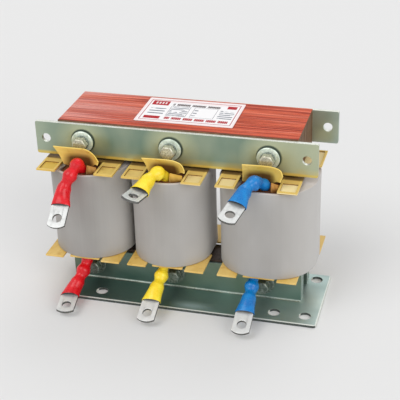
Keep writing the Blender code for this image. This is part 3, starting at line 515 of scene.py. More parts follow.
def label_finish():
    """White film with a red frame, red blocks and plain ruled rows, without any wording."""
    paper, red_ink, pink_ink = (0.92, 0.91, 0.92), (0.44, 0.0, 0.008), (0.88, 0.42, 0.38)
    grey_ink, line_ink, dark_ink = (0.13, 0.15, 0.20), (0.08, 0.08, 0.11), (0.06, 0.03, 0.03)
    film = Finish("printed_film", (0.86, 0.85, 0.86), 0.38)
    here = film.place()
    across = (here.part("X") - LABEL_LEFT) / (LABEL_RIGHT - LABEL_LEFT)
    up = (here.part("Y") - LABEL_FRONT) / (LABEL_BACK - LABEL_FRONT)

    def block(left, right, low, high):
        """Mask of a rectangle, in shares of the label."""
        sides = (across > left) * (across < right)
        return sides * (up > low) * (up < high)

    def rows(left, right, low, high, pitch, share):
        """Mask of short ruled rows in a column."""
        stripe = (up - low).wrapped(pitch) < pitch * share
        ragged = film.noise(9.0, (1.0, 2.2, 1.0), 1.0) > 0.40
        return block(left, right, low, high) * stripe * ragged

    def dashes(pitch, dash):
        """Mask of upright strokes at a pitch."""
        return across.wrapped(pitch) < dash

    pink = (1.0 - block(0.022, 0.978, 0.05, 0.95)).most(block(0.022, 0.978, 0.84, 0.925))
    frame_line = block(0.033, 0.967, 0.07, 0.93) - block(0.043, 0.957, 0.09, 0.91)
    red = block(0.06, 0.235, 0.70, 0.885).most(block(0.84, 0.935, 0.74, 0.86))
    red = red.most(block(0.07, 0.235, 0.13, 0.24)).most(frame_line * 0.8)
    red = red.most(block(0.28, 0.94, 0.14, 0.235) * (dashes(0.118, 0.098) * dashes(0.019, 0.0165)))
    window = block(0.085, 0.21, 0.755, 0.84) * dashes(0.032, 0.017)
    grey = rows(0.08, 0.24, 0.34, 0.64, 0.10, 0.35).most(rows(0.285, 0.47, 0.30, 0.68, 0.062, 0.45))
    grey = grey.most(rows(0.79, 0.94, 0.32, 0.68, 0.075, 0.40))
    grey = grey.most(rows(0.53, 0.57, 0.34, 0.66, 0.11, 0.30))
    left_box = block(0.275, 0.48, 0.28, 0.70) - block(0.279, 0.476, 0.288, 0.692)
    right_box = block(0.52, 0.76, 0.28, 0.70) - block(0.524, 0.756, 0.288, 0.692)
    heading = block(0.28, 0.77, 0.725, 0.805) * dashes(0.16, 0.140) * dashes(0.017, 0.014)
    tone = film.blend(pink * 0.22, paper, pink_ink)
    tone = film.blend(grey, tone, grey_ink)
    tone = film.blend(left_box.most(right_box), tone, line_ink)
    tone = film.blend(heading, tone, dark_ink)
    tone = film.blend(red, tone, red_ink)
    film.set("Base Color", film.blend(window * 0.8, tone, paper))
    film.set("Roughness", 0.34 + film.noise(14.0) * 0.16)
    film.set("Specular IOR Level", 0.15)
    return film.material


# ---------------------------------------------------------------- mesh helpers

SMOOTH_BELOW = 32.0
SAME_POINT_M = 0.00002


def smooth(mesh):
    """Smooth shading, kept sharp at clear edges."""
    mesh.shade_smooth()
    mesh.set_sharp_from_angle(angle=math.radians(SMOOTH_BELOW))


def new_piece(name, work):
    """Object from a bmesh, smooth where it is round."""
    mesh = bpy.data.meshes.new(name)
    bmesh.ops.recalc_face_normals(work, faces=work.faces)
    work.to_mesh(mesh)
    work.free()
    smooth(mesh)
    return stand(name, mesh)


def settle(piece):
    """Bake a piece's modifiers and its place into its mesh."""
    bpy.context.view_layer.update()
    seen = piece.evaluated_get(bpy.context.evaluated_depsgraph_get())
    mesh = bpy.data.meshes.new_from_object(seen)
    mesh.transform(piece.matrix_world)
    piece.modifiers.clear()
    piece.matrix_world = Matrix.Identity(4)
    piece.data = mesh
    smooth(mesh)
    return piece


def round_edges(piece, width, angle=40):
    """Bevel the edges that are sharper than an angle by a width in millimetres."""
    step = piece.modifiers.new("edges", "BEVEL")
    step.width = width * MM
    step.segments = 2
    step.limit_method = "ANGLE"
    step.angle_limit = math.radians(angle)
    return piece


def even_faces(piece):
    """Keep the broad faces flat in the light beside their rounded edges."""
    step = piece.modifiers.new("even_faces", "WEIGHTED_NORMAL")
    step.keep_sharp = True
    return piece


def combine(piece, tool, operation):
    """Cut, keep or join with a tool, which is used up."""
    step = piece.modifiers.new(operation.lower(), "BOOLEAN")
    step.operation = operation
    step.object = tool
    settle(piece)
    bpy.data.objects.remove(tool)
    return piece


def wear(piece, finish, node):
    """Give a piece its finish and slot, let it ride, and hide the solid that it stands for."""
    piece.data.materials.clear()
    piece.data.materials.append(finish)
    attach(piece, "root")
    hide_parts(node)
    return piece


def repaint(node, finish):
    """Give a solid that stays its finish."""
    NODES[node].data.materials.clear()
    NODES[node].data.materials.append(finish)


def trim(piece, finish, chosen):
    """Give a further finish to the faces that pass a test."""
    piece.data.materials.append(finish)
    index = len(piece.data.materials) - 1
    for face in piece.data.polygons:
        if chosen(face):
            face.material_index = index


def clean_solid(node):
    """Copy of a solid to work on, its flat faces whole."""
    work = bmesh.new()
    work.from_mesh(NODES[node].data)
    bmesh.ops.remove_doubles(work, verts=work.verts, dist=SAME_POINT_M)
    bmesh.ops.dissolve_limit(work, angle_limit=math.radians(1.0), verts=work.verts, edges=work.edges)
    return work


def refined(node, name, width, finish):
    """Copy of a solid with clean faces and softly broken edges."""
    piece = settle(round_edges(new_piece(name, clean_solid(node)), width))
    return wear(even_faces(piece), finish, node)


def add_block(work, low, high):
    """Block between two corners in millimetres."""
    low, high = Vector(low), Vector(high)
    made = bmesh.ops.create_cube(work, size=1.0)["verts"]
    bmesh.ops.scale(work, vec=(high - low) * MM, verts=made)
    bmesh.ops.translate(work, vec=(high + low) / 2 * MM, verts=made)


def grid_faces(work, rings, closed=True, ends=False):
    """Faces between rings of points. Closed joins a ring's last point to its first; ends fills both ends."""
    for low, high in zip(rings, rings[1:]):
        count = len(low)
        for i in range(count if closed else count - 1):
            j = (i + 1) % count
            work.faces.new((low[i], low[j], high[j], high[i]))
    if ends:
        work.faces.new(rings[0])
        work.faces.new(rings[-1])


def around(x, z, radius, y, turn):
    """Point at a radius and a turn about an axis along Y, from millimetres."""
    return Vector((x + radius * math.cos(turn), y, z + radius * math.sin(turn))) * MM


def lathe(name, profile, sides, x, z):
    """Closed profile of radius and Y, turned about an axis along Y."""
    work = bmesh.new()
    rings = []
    for i in range(sides):
        turn = math.tau * i / sides
        rings.append([work.verts.new(around(x, z, radius, y, turn)) for radius, y in profile])
    grid_faces(work, [*rings, rings[0]])
    return new_piece(name, work)


def turned(name, stations, sides, x, z):
    """Solid about an axis along Y through stations of radius and Y, closed at both ends."""
    work = bmesh.new()
    turns = [math.tau * i / sides for i in range(sides)]
    rings = [[work.verts.new(around(x, z, radius, y, turn)) for turn in turns] for radius, y in stations]
    grid_faces(work, rings, ends=True)
    return new_piece(name, work)


# ---------------------------------------------------------------- core

LEAF = 0.8
LIMB_HALF = 18
BARE_SEAM, PAINTED_SEAM = 0.05, 0.035
UNEVEN = 0.22


def laminated(name, low, high, finish, node, cap=None):
    """Stack of core sheets along Y with slightly uneven edges, and a cap finish for its top."""
    work = bmesh.new()
    count = round((high[1] - low[1]) / LEAF)
    pitch = (high[1] - low[1]) / count
    gap = (PAINTED_SEAM if cap else BARE_SEAM) / 2
    for i in range(count):
        left, right, below, above = [dice.uniform(0.0, UNEVEN) for _ in range(4)]
        front, back = low[1] + i * pitch + gap, low[1] + (i + 1) * pitch - gap
        corner = (low[0] + left, front, low[2] + below)
        add_block(work, corner, (high[0] - right, back, high[2] - above * 0.7))
    piece = wear(new_piece(name, work), finish, node)
    if cap:
        trim(piece, cap, lambda face: face.normal.z > 0.5)


def make_core():
    """Painted upper yoke, and the varnished lower yoke and limbs."""
    # The lower yoke and limbs are varnished, and their edge finish is made far darker than the upper yoke's
    # as painted shade.
    edge = core_edge_finish("shaded_varnished_core_edge", (0.025, 0.016, 0.012), (0.085, 0.052, 0.036))
    end = core_edge_finish("upper_core_edge", (0.12, 0.060, 0.030), (0.28, 0.155, 0.075))
    low, high = (-116.5, -37.5, 138.3), (121.1, 37.5, 175.5)
    laminated("upper_yoke_leaves", low, high, end, "upper_yoke", core_paint_finish())
    low, high = (-110.9, -38.5, 2.8), (121.1, -8.5, 37.8)
    laminated("lower_yoke_leaves", low, high, edge, "lower_yoke")
    for phase, x in zip(PHASES, COIL_X):
        low, high = (x - LIMB_HALF, -38.5, 38.1), (x + LIMB_HALF, -8.5, 138.0)
        laminated("limb_leaves_" + phase, low, high, edge, "limb_" + phase)


# ---------------------------------------------------------------- coils

# Middle and width of each coil's tape.
WRAPS = ((-87.2, 82.8), (-4.5, 78.5), (92.2, 95.0))
WRAP_CORNER, WRAP_WALL, WRAP_LAP = 40.0, 2.5, 0.35
CORNER_STEPS, HEIGHT_STEPS = 24, 9
LAP_AT = 0.38
SHOULDER = 13.0
LEAD_GAP, GAP_FADE = 21.0, 5.0

FLANGE_ASIDE = 1.5
TRAY_INNER, TRAY_OUTER = 21.6, 37.1
TRAY_SINK = 0.3
SHELF_FRONT, SHELF_BACK, SHELF_LOW = -53.5, -38.2, 136.5

# Edges of the insulation sheets, measured across from the coil's middle.
TONGUE_TOPS = {
    "a": [(-25.7, -60, 158), (-14.7, -58.5, 157), (-2.8, -58, 156.7), (7.8, -59, 156.5), (15.8, -61.2, 152.9),
          (21.4, -64, 147.1)],
    "b": [(-22.8, -60, 153.8), (-11.4, -58.5, 153.3), (0, -58, 153.3), (9.1, -59, 153), (16.4, -61.2, 151),
          (20.3, -64, 146.1)],
    "c": [(-17, -60, 156.7), (-7.6, -58.5, 156.2), (1.7, -58, 156.1), (12.1, -59, 156), (19.5, -61.2, 154.3),
          (22.3, -64, 150)],
}
TONGUE_FOOT = [(-16.9, -58, 138.5), (-10, -51, 133), (0, -47.5, 132.2), (9, -50.5, 134.5), (15, -57.5, 140.5),
               (20, -64.5, 143.7)]
FOLD_ENDS = {"a": (7.4, 17.8), "b": (4.4, 17.4), "c": (10.8, 17.8)}
FOLD_LOW, FOLD_HIGH = 132.1, 140.2
SHEET_THICK, SHEET_ROWS = 1.0, 16
SPAN_STEPS = 40


def beside_lead(offset):
    """Share of the tape's shoulder that is there, by the distance from the coil's middle."""
    rise = min(1.0, max(0.0, (abs(offset) - LEAD_GAP) / GAP_FADE))
    return rise * rise * (3 - 2 * rise)


def wrap_plan(left, right, inset, lap):
    """Plan of the wound oval in millimetres. The tape's last end steps up by the lap at the back."""
    radius = min(WRAP_CORNER, (right - left) / 2 - 1.0)
    centers = ((right - radius, WRAP_FRONT + radius, -90), (right - radius, WRAP_BACK - radius, 0),
               (left + radius, WRAP_BACK - radius, 90), (left + radius, WRAP_FRONT + radius, 180))
    points = []
    for x, y, start in centers:
        for i in range(CORNER_STEPS + 1):
            turn = math.radians(start + 90 * i / CORNER_STEPS)
            points.append((x, y, math.cos(turn), math.sin(turn)))
    count = len(points)
    plan = []
    for i, (x, y, across, along) in enumerate(points):
        reach = radius - inset - lap * ((i + count * LAP_AT) % count) / count
        plan.append((x + across * reach, y + along * reach))
    return plan


def make_wrap(phase, x, width, coil, finish):
    """Outer tape wrap with softly rounded rims, the lap of its last turn, and tape over its shoulders."""
    left, right = x - width / 2, x + width / 2
    low, high = WRAP_LOW, WRAP_HIGH
    profile = [(0.9, low), (0.25, low + 0.3), (0.0, low + 1.0)]
    for i in range(1, HEIGHT_STEPS):
        rise = i / HEIGHT_STEPS
        profile.append((0.22 * math.sin(math.pi * rise), low + 1.0 + (high - low - 2.0) * rise))
    profile += [(0.0, high - 1.0), (0.25, high - 0.3), (0.9, high)]
    profile += [(SHOULDER, high - 0.1), (SHOULDER + 0.2, high - 0.9), (WRAP_WALL, high - 1.3)]
    profile += [(WRAP_WALL, low + 0.4), (WRAP_WALL - 0.3, low)]
    work = bmesh.new()
    rings = []
    for inset, z in profile:
        plan = wrap_plan(left, right, min(inset, WRAP_WALL), WRAP_LAP if inset < 2.0 else 0.0)
        if inset >= SHOULDER:
            wide = [Vector(point) for point in wrap_plan(left, right, inset, 0.0)]
            plan = [Vector(a).lerp(b, beside_lead(a[0] - coil)) for a, b in zip(plan, wide)]
        rings.append([work.verts.new(Vector((px, py, z)) * MM) for px, py in plan])
    grid_faces(work, [*rings, rings[0]])
    wear(new_piece("tape_turns_" + phase, work), finish, "tape_wrap_" + phase)


def make_upper_flange(phase, x, finish, wall, shelf):
    """Upper bobbin flange: the sunk floors of its front trays end at a raised shelf before the clamp."""
    work = clean_solid("upper_flange_" + phase)
    for vert in work.verts:
        if abs(vert.co.z - TRAY_FLOOR * MM) < 0.05 * MM:
            vert.co.z -= TRAY_SINK * MM
    flange = new_piece("upper_bobbin_flange_" + phase, work)
    center = x - FLANGE_ASIDE
    for left, right in ((-TRAY_OUTER, -TRAY_INNER), (TRAY_INNER, TRAY_OUTER)):
        block = bmesh.new()
        add_block(block, (center + left, SHELF_FRONT, SHELF_LOW), (center + right, SHELF_BACK, SHELF_TOP))
        combine(flange, new_piece("shelf", block), "UNION")
    settle(round_edges(flange, 0.25))
    wear(even_faces(flange), finish, "upper_flange_" + phase)

    def between(face, low, high):
        """Whether a face's middle lies between two heights over the tray's floor."""
        return low * MM < face.center.z - TRAY_FLOOR * MM < high * MM

    trim(flange, wall, lambda face: abs(face.normal.z) < 0.5 and between(face, 0.2, 0.7))
    trim(flange, shelf, lambda face: face.normal.z > 0.9 and between(face, 0.8, 0.9))


def smooth_route(points, count):
    """Evenly spaced points of a smooth curve through a route."""
    points = [Vector(p) for p in points]
    ends = [2 * points[0] - points[1], *points, 2 * points[-1] - points[-2]]
    fine = []
    for a, b, c, d in zip(ends, ends[1:], ends[2:], ends[3:]):
        for step in range(SPAN_STEPS):
            t = step / SPAN_STEPS
            bend = (2 * a - 5 * b + 4 * c - d) * t ** 2 + (3 * b - 3 * c + d - a) * t ** 3
            fine.append((2 * b + (c - a) * t + bend) / 2)
    fine.append(points[-1])
    travelled = [0.0]
    for a, b in zip(fine, fine[1:]):
        travelled.append(travelled[-1] + (b - a).length)
    result = [fine[0]]
    for i in range(1, count):
        wanted = travelled[-1] * i / count
        after = next(n for n, way in enumerate(travelled) if way >= wanted)
        share = (wanted - travelled[after - 1]) / (travelled[after] - travelled[after - 1])
        result.append(fine[after - 1].lerp(fine[after], share))
    return result + [fine[-1]]


def curved_sheet(name, foot, top, belly, ripple, finish, node):
    """Thin sheet between two edges, bowed by a belly, with a thickness and a faint ripple."""
    work = bmesh.new()
    rings = []
    for row in range(SHEET_ROWS + 1):
        rise = row / SHEET_ROWS
        arch = math.sin(math.pi * rise)
        ring = []
        for column, (low, high) in enumerate(zip(foot, top)):
            bow = belly * arch + ripple * math.sin(column * 0.55 + rise * 2.6) * arch
            ring.append(work.verts.new((low.lerp(high, rise) + Vector((0, bow, 0))) * MM))
        rings.append(ring)
    grid_faces(work, rings, closed=False)
    piece = new_piece(name, work)
    shell = piece.modifiers.new("sheet", "SOLIDIFY")
    shell.thickness = SHEET_THICK * MM
    shell.offset = 0.0
    round_edges(piece, 0.3, 60)
    wear(settle(piece), finish, node)


def make_tongue(phase, x, finish):
    """Curved insulation sheet behind the upper lead."""
    foot, top = [smooth_route([(x + across, y, z) for across, y, z in edge], 40)
                 for edge in (TONGUE_FOOT, TONGUE_TOPS[phase])]
    curved_sheet("insulation_sheet_" + phase, foot, top, 1.2, 0.12, finish, "insulation_tongue_" + phase)


def make_fold(phase, x, finish):
    """Folded insulation that stands on the winding to the right of the upper lead."""
    left, right = (x + end for end in FOLD_ENDS[phase])
    foot = smooth_route([(left, -64.0, FOLD_LOW), (right, -60.2, FOLD_LOW)], 24)
    top = smooth_route([(left, -59.2, FOLD_HIGH), (right, -62.8, FOLD_HIGH)], 24)
    curved_sheet("folded_insulation_" + phase, foot, top, -0.8, 0.20, finish, "insulation_fold_" + phase)


# ---------------------------------------------------------------- leads

# Route of each sleeve, tip of its lug, and roll of the lug in degrees.
LEADS = {
    "upper": {
        "a": ([(-87.6, -57.0, 132.0), (-88.2, -59.4, 138.8), (-88.2, -66.6, 142.6), (-89.6, -74.0, 139.7),
               (-93.0, -78.6, 133.6), (-96.4, -82.4, 125.4), (-97.2, -87.6, 118.6), (-96.4, -94.5, 112.6)],
              (-95.1, -115.0, 99.3), 0.0),
        "b": ([(-2.6, -57.0, 132.0), (-4.0, -59.6, 138.2), (-8.2, -65.6, 141.6), (-12.6, -73.0, 139.8),
               (-16.0, -80.6, 135.7), (-17.1, -92.0, 134.5)],
              (-19.4, -115.0, 137.5), -13.0),
        "c": ([(94.4, -57.0, 132.0), (92.8, -59.8, 138.2), (87.2, -66.0, 142.2), (81.4, -73.2, 140.6),
               (78.0, -81.0, 136.2), (75.9, -94.0, 131.8)],
              (70.6, -116.0, 126.1), -11.0),
    },
    "lower": {
        "a": ([(-88.2, -59.0, 42.1), (-89.2, -60.4, 32.6), (-91.0, -67.0, 25.4), (-93.6, -75.6, 18.6),
               (-96.2, -83.6, 12.9), (-96.9, -93.0, 10.1)],
              (-94.0, -117.0, 6.4), 0.0),
        "b": ([(-7.2, -59.0, 42.1), (-8.6, -60.4, 33.0), (-9.6, -67.0, 27.0), (-10.6, -79.0, 21.6),
               (-11.8, -93.0, 15.6)],
              (-11.6, -116.0, 6.8), 0.0),
        "c": ([(84.2, -59.0, 42.1), (82.8, -60.4, 33.0), (82.2, -67.0, 27.0), (82.2, -79.0, 21.6),
               (81.7, -93.0, 15.8)],
              (82.0, -116.0, 7.0), 0.0),
    },
}
SLEEVE_RINGS, SLEEVE_SIDES = 72, 40
SLEEVE_RADIUS, SLEEVE_ROOT = 6.2, 3.0
ROOT_SHARE, ROOT_REACH = 0.62, 12.0
SWELL, SWELL_START, SWELL_PITCH = 0.95, 17.0, 14.0
MOUTH_SPREAD, SPREAD_REACH, PRESS_REACH = 2.4, 16.0, 13.0
# Way out of the mouth, negative inside it, and the thickness of the sleeve's wall there.
MOUTH_WALL = ((0.1, 0.40), (-1.0, 0.55), (-3.5, 0.75), (-6.0, 0.9))

LUG_HALF, LUG_LENGTH, LUG_THICK = 8.7, 24.5, 2.6
LUG_HOLE, LUG_HOLE_INSET = 4.55, 10.4
LUG_NECK = [(-9.0, 3.4), (-5.5, 4.2), (-2.6, 6.5), (0.8, LUG_HALF)]
LUG_END_RISE = 3.0


def sleeve_size(left_over, travelled=100.0):
    """Half width and half height of a sleeve, by the distance left to its mouth and the way from its root."""
    start = ROOT_SHARE + (1 - ROOT_SHARE) * min(1.0, travelled / ROOT_REACH)
    swell = SWELL * math.cos(math.tau * max(0.0, left_over - SWELL_START) / SWELL_PITCH)
    radius = start * (SLEEVE_RADIUS + swell)
    spread = max(0.0, 1 - left_over / SPREAD_REACH) ** 1.5
    press = max(0.0, 1 - left_over / PRESS_REACH) ** 1.3
    return radius + MOUTH_SPREAD * spread, radius - MOUTH_SPREAD * press


def lug_frame(mouth, tip, roll):
    """Directions of a lug: along it, across it and out of its face."""
    way = (tip - mouth).normalized()
    side = Vector((0, 0, 1)).cross(way).normalized()
    side = Matrix.Rotation(math.radians(roll), 3, way) @ side
    return way, side, way.cross(side)


def make_sleeve(row, phase, finish, slot, inside):
    """Heat-shrink sleeve that goes from round to the flat oval of its lug, open at the mouth."""
    route, tip, roll = LEADS[row][phase]
    root = Vector(route[0])
    rise = math.copysign(SLEEVE_ROOT, route[1][2] - route[0][2])
    points = smooth_route([root + Vector((0, 0, rise)), *route[1:]], SLEEVE_RINGS)
    total = (points[2] - points[1]).length * SLEEVE_RINGS
    points.insert(0, root)
    mouth = points[-1]
    way, side, _ = lug_frame(mouth, Vector(tip), roll)
    work = bmesh.new()
    rings = []

    def add_ring(center, along, width, height, twist):
        """One oval ring of points, with the faint folds of the shrunk sleeve."""
        across = (side - along * side.dot(along)).normalized()
        out = along.cross(across)
        ring = []
        for i in range(SLEEVE_SIDES):
            turn = math.tau * i / SLEEVE_SIDES
            fold = 1 + 0.008 * math.sin(2 * turn + twist * 0.33) + 0.005 * math.sin(3 * turn - twist * 0.21)
            offset = across * (math.cos(turn) * width) + out * (math.sin(turn) * height)
            ring.append(work.verts.new((center + offset * fold) * MM))
        rings.append(ring)

    last = len(points) - 1
    for i, point in enumerate(points):
        left_over = total * (1 - (i - 1) / SLEEVE_RINGS) if i else total + SLEEVE_ROOT
        along = way if i == last else (points[i + 1] - points[max(0, i - 1)]).normalized()
        add_ring(point, along, *sleeve_size(left_over, total - left_over + SLEEVE_ROOT), left_over)
    width, height = sleeve_size(0.0)
    add_ring(mouth + way * 0.25, way, width - 0.15, height - 0.15, 0.0)
    first_inner = len(rings) * SLEEVE_SIDES
    for depth, wall in MOUTH_WALL:
        width, height = sleeve_size(max(0.0, -depth))
        add_ring(mouth + way * depth, way, width - wall, height - wall, 0.0)
    root_end = (len(rings) - 1) * SLEEVE_SIDES
    grid_faces(work, rings, ends=True)
    piece = new_piece(f"{row}_shrink_sleeve_{phase}", work)
    wear(piece, finish, f"{row}_sleeve_{phase}")
    trim(piece, inside, lambda face: face.index >= first_inner and face.index != root_end)


def make_lug(row, phase, finish, edge):
    """Tinned lug: flat palm with a round end and a drilled hole, swaged into its barrel."""
    route, tip, roll = LEADS[row][phase]
    mouth = Vector(route[-1])
    radius = (LUG_HALF ** 2 + LUG_END_RISE ** 2) / (2 * LUG_END_RISE)
    spread = math.asin(LUG_HALF / radius)
    outline = [(along, -across) for along, across in LUG_NECK]
    for i in range(25):
        turn = -spread + 2 * spread * i / 24
        outline.append((LUG_LENGTH - radius + radius * math.cos(turn), radius * math.sin(turn)))
    outline += reversed(LUG_NECK)
    hole = []
    for i in range(48):
        turn = math.tau * i / 48
        hole.append((LUG_LENGTH - LUG_HOLE_INSET + LUG_HOLE * math.cos(turn), LUG_HOLE * math.sin(turn)))
    lug = flat_plate(f"{row}_terminal_{phase}", [outline, hole], LUG_THICK)
    settle(round_edges(lug, 0.30, 50))
    wear(even_faces(lug), finish, f"{row}_lug_{phase}")
    trim(lug, edge, lambda face: abs(face.normal.z) < 0.55)
    lug.data.transform(axes_at(*lug_frame(mouth, Vector(tip), roll), mouth))


def flat_plate(name, loops, thickness):
    """Flat outline with holes, in millimetres, extruded about its own plane."""
    data = bpy.data.curves.new(name, "CURVE")
    data.dimensions = "2D"
    data.fill_mode = "BOTH"
    data.extrude = thickness / 2 * MM
    for loop in loops:
        spline = data.splines.new("POLY")
        spline.points.add(len(loop) - 1)
        for point, (x, y) in zip(spline.points, loop):
            point.co = (x * MM, y * MM, 0.0, 1.0)
        spline.use_cyclic_u = True
    source = stand(name + "_outline", data)
    bpy.context.view_layer.update()
    mesh = bpy.data.meshes.new_from_object(source.evaluated_get(bpy.context.evaluated_depsgraph_get()))
    bpy.data.objects.remove(source)
    work = bmesh.new()
    work.from_mesh(mesh)
    bmesh.ops.remove_doubles(work, verts=work.verts, dist=SAME_POINT_M / 2)
    return new_piece(name, work)


def make_leads():
    """Six sleeved leads with their lugs."""
    # One tin in two copies: darker on the upper lugs as painted shade, paler on the lower lugs as painted
    # light.
    tins = {"upper": tin_finish("tin_plate", (0.66, 0.67, 0.66), (0.55, 0.56, 0.55)),
            "lower": tin_finish("lit_tin_plate", (0.86, 0.87, 0.86), (0.74, 0.75, 0.74))}
    edge = grained_finish("lug_cut_edge", (0.10, 0.10, 0.09), (0.24, 0.24, 0.23), 0.8, 0.45, 0.7)
    # Near black inside the sleeve mouths, as painted shade.
    inside = grained_finish("shaded_sleeve_inside", (0.012, 0.010, 0.010), (0.04, 0.035, 0.035), 1.2, 0.60, 0.0)
    red = sleeve_finish("red_sleeve", (0.80, 0.002, 0.012), (0.60, 0.001, 0.008), (0.90, 0.04, 0.06))
    yellow = sleeve_finish("yellow_sleeve", (1.0, 0.80, 0.045), (0.95, 0.66, 0.02), (1.0, 0.88, 0.28))
    blue = sleeve_finish("blue_sleeve", (0.002, 0.23, 0.62), (0.001, 0.15, 0.48), (0.02, 0.38, 0.78))
    sleeves = {"a": (red, "red_sleeve"), "b": (yellow, "yellow_sleeve"), "c": (blue, "blue_sleeve")}
    for row in LEADS:
        for phase in PHASES:
            make_sleeve(row, phase, *sleeves[phase], inside)
            make_lug(row, phase, tins[row], edge)


# ---------------------------------------------------------------- fasteners

# M8 bolt, its washers and its nut, 13 mm across flats. A hair's gap keeps the parts from cutting each other.
JOINT_GAP = 0.3
HEX_CORNER = 13.0 / math.sqrt(3)
HEAD_HEIGHT, NUT_HEIGHT, SPRING_HEIGHT = 6.6, 6.5, 2.4
SHANK_RADIUS, THREAD_CORE, THREAD_DEPTH, THREAD_PITCH = 3.95, 3.35, 0.6, 1.25
TAIL_PAST_NUT = 4.0
# Radius, and the way forward from the washer's back.
WASHER = ((4.5, 0.0), (10.75, 0.0), (11.0, 0.25), (11.0, 1.4), (10.6, 1.8), (4.8, 1.8), (4.5, 1.5))
WASHER_THICK = 1.8


def threaded_tail(name, x, z, start, end):
    """End of a bolt with its thread."""
    work = bmesh.new()
    sides, per_turn = 36, 12
    count = round((end - start) / THREAD_PITCH * per_turn)
    rings = []
    for row in range(count + 1):
        y = start + (end - start) * row / count
        depth = THREAD_DEPTH * min(1.0, (end - y) / 0.9)
        ring = []
        for i in range(sides):
            wave = ((y - start) / THREAD_PITCH + i / sides) % 1.0
            radius = THREAD_CORE + depth * (1 - abs(2 * wave - 1))
            ring.append(work.verts.new(around(x, z, radius, y, math.tau * i / sides)))
        rings.append(ring)
    grid_faces(work, rings, ends=True)
    return new_piece(name, work)


def spring_ring(name, x, z, front, height):
    """Split spring washer, its ends a little apart."""
    sides = 44
    section = ((4.3, 0.15), (4.45, 0.0), (7.0, 0.0), (7.2, 0.2), (7.2, height - 0.4), (7.0, height - 0.2),
               (4.45, height - 0.2), (4.3, height - 0.35))
    work = bmesh.new()
    rings = []
    for i in range(sides + 1):
        turn = math.radians(62 + 348 * i / sides)
        base = front + 0.1 + 0.175 * (i / sides - 0.5)
        rings.append([work.verts.new(around(x, z, radius, base + y, turn)) for radius, y in section])
    grid_faces(work, rings, ends=True)
    return new_piece(name, work)


def join_pieces(name, parts):
    """One object from several separate meshes."""
    work = bmesh.new()
    for part in parts:
        work.from_mesh(part.data)
        bpy.data.objects.remove(part)
    return new_piece(name, work)


def hexagon(name, front, back, chamfer, x, z):
    """Hexagon bar whose corners are turned off along a profile of radius and Y."""
    bar = turned(name, [(HEX_CORNER, front), (HEX_CORNER, back)], 6, x, z)
    return combine(bar, turned(name + "_chamfer", chamfer, 64, x, z), "INTERSECT")


def make_fastener(label, x, z, front, back, finish, cap, ring_finish):
    """M8 bolt with chamfered head, spring washer and thread, flat washer in front, nut behind."""
    washer_back = front - JOINT_GAP
    head_back = washer_back - WASHER_THICK - JOINT_GAP - SPRING_HEIGHT
    head_front = head_back - HEAD_HEIGHT
    nut_front = back + JOINT_GAP
    nut_back = nut_front + NUT_HEIGHT
    thread_start = nut_back - 0.4
    washer = lathe("flat_washer_" + label, [(radius, washer_back - y) for radius, y in WASHER], 64, x, z)
    wear(even_faces(washer), finish, "washer_" + label)
    chamfer = [(5.5, head_front - 0.01), (6.0, head_front + 0.12), (6.6, head_front + 0.6),
               (7.7, head_front + 2.0), (7.7, head_back + 0.01)]
    head = hexagon("head_" + label, head_front, head_back, chamfer, x, z)
    settle(round_edges(head, 0.25, 25))
    shank = [(SHANK_RADIUS, head_back - 0.5), (SHANK_RADIUS, thread_start)]
    parts = [head, turned("shank_" + label, shank, 32, x, z),
             threaded_tail("tail_" + label, x, z, thread_start, nut_back + TAIL_PAST_NUT),
             spring_ring("spring_" + label, x, z, head_back, SPRING_HEIGHT)]
    bolt = join_pieces("hex_bolt_" + label, parts)
    wear(even_faces(bolt), cap, "bolt_" + label)
    trim(bolt, ring_finish, lambda face: face.center.y > head_back * MM)
    chamfer = [(6.3, nut_front - 0.01), (7.7, nut_front + 0.8), (7.7, nut_back - 0.8), (6.3, nut_back + 0.01)]
    nut = hexagon("hex_nut_" + label, nut_front, nut_back, chamfer, x, z)
    bore = [(5.0, nut_front - 0.6), (4.1, nut_front + 0.5), (4.1, nut_back - 0.5), (5.0, nut_back + 0.6)]
    combine(nut, turned("nut_bore_" + label, bore, 40, x, z), "DIFFERENCE")
    settle(round_edges(nut, 0.2, 25))
    wear(even_faces(nut), finish, "nut_" + label)


def make_fasteners():
    """Three bolts through the clamp bars and three through the legs of the foot."""
    plate = grained_finish("bright_zinc", (0.62, 0.73, 0.62), (0.90, 0.98, 0.88), 2.6, 0.26, 0.35)
    cap = grained_finish("bolt_head_zinc", (0.40, 0.38, 0.28), (0.72, 0.70, 0.57), 1.3, 0.30, 0.75)
    spring = grained_finish("spring_steel", (0.12, 0.14, 0.12), (0.34, 0.38, 0.33), 1.4, 0.34, 0.80)
    # A darker copy of the zinc for the lower fasteners, as painted shade.
    dull = grained_finish("shaded_zinc", (0.13, 0.16, 0.13), (0.33, 0.37, 0.32), 2.0, 0.34, 0.80)
    for phase, x in zip(PHASES, UPPER_BOLTS):
        make_fastener("upper_" + phase, x, UPPER_BOLT_Z, -41.6, 41.6, plate, cap, spring)
    for phase, x in zip(PHASES, LOWER_BOLTS):
        make_fastener("lower_" + phase, x, LOWER_BOLT_Z, -41.3, -5.7, dull, dull, spring)


# ---------------------------------------------------------------- foot and clamps

PLATE_TOP = 2.6
PLATE_FRONT_STRIP = -60.0
LEG_RETURN = 120.0


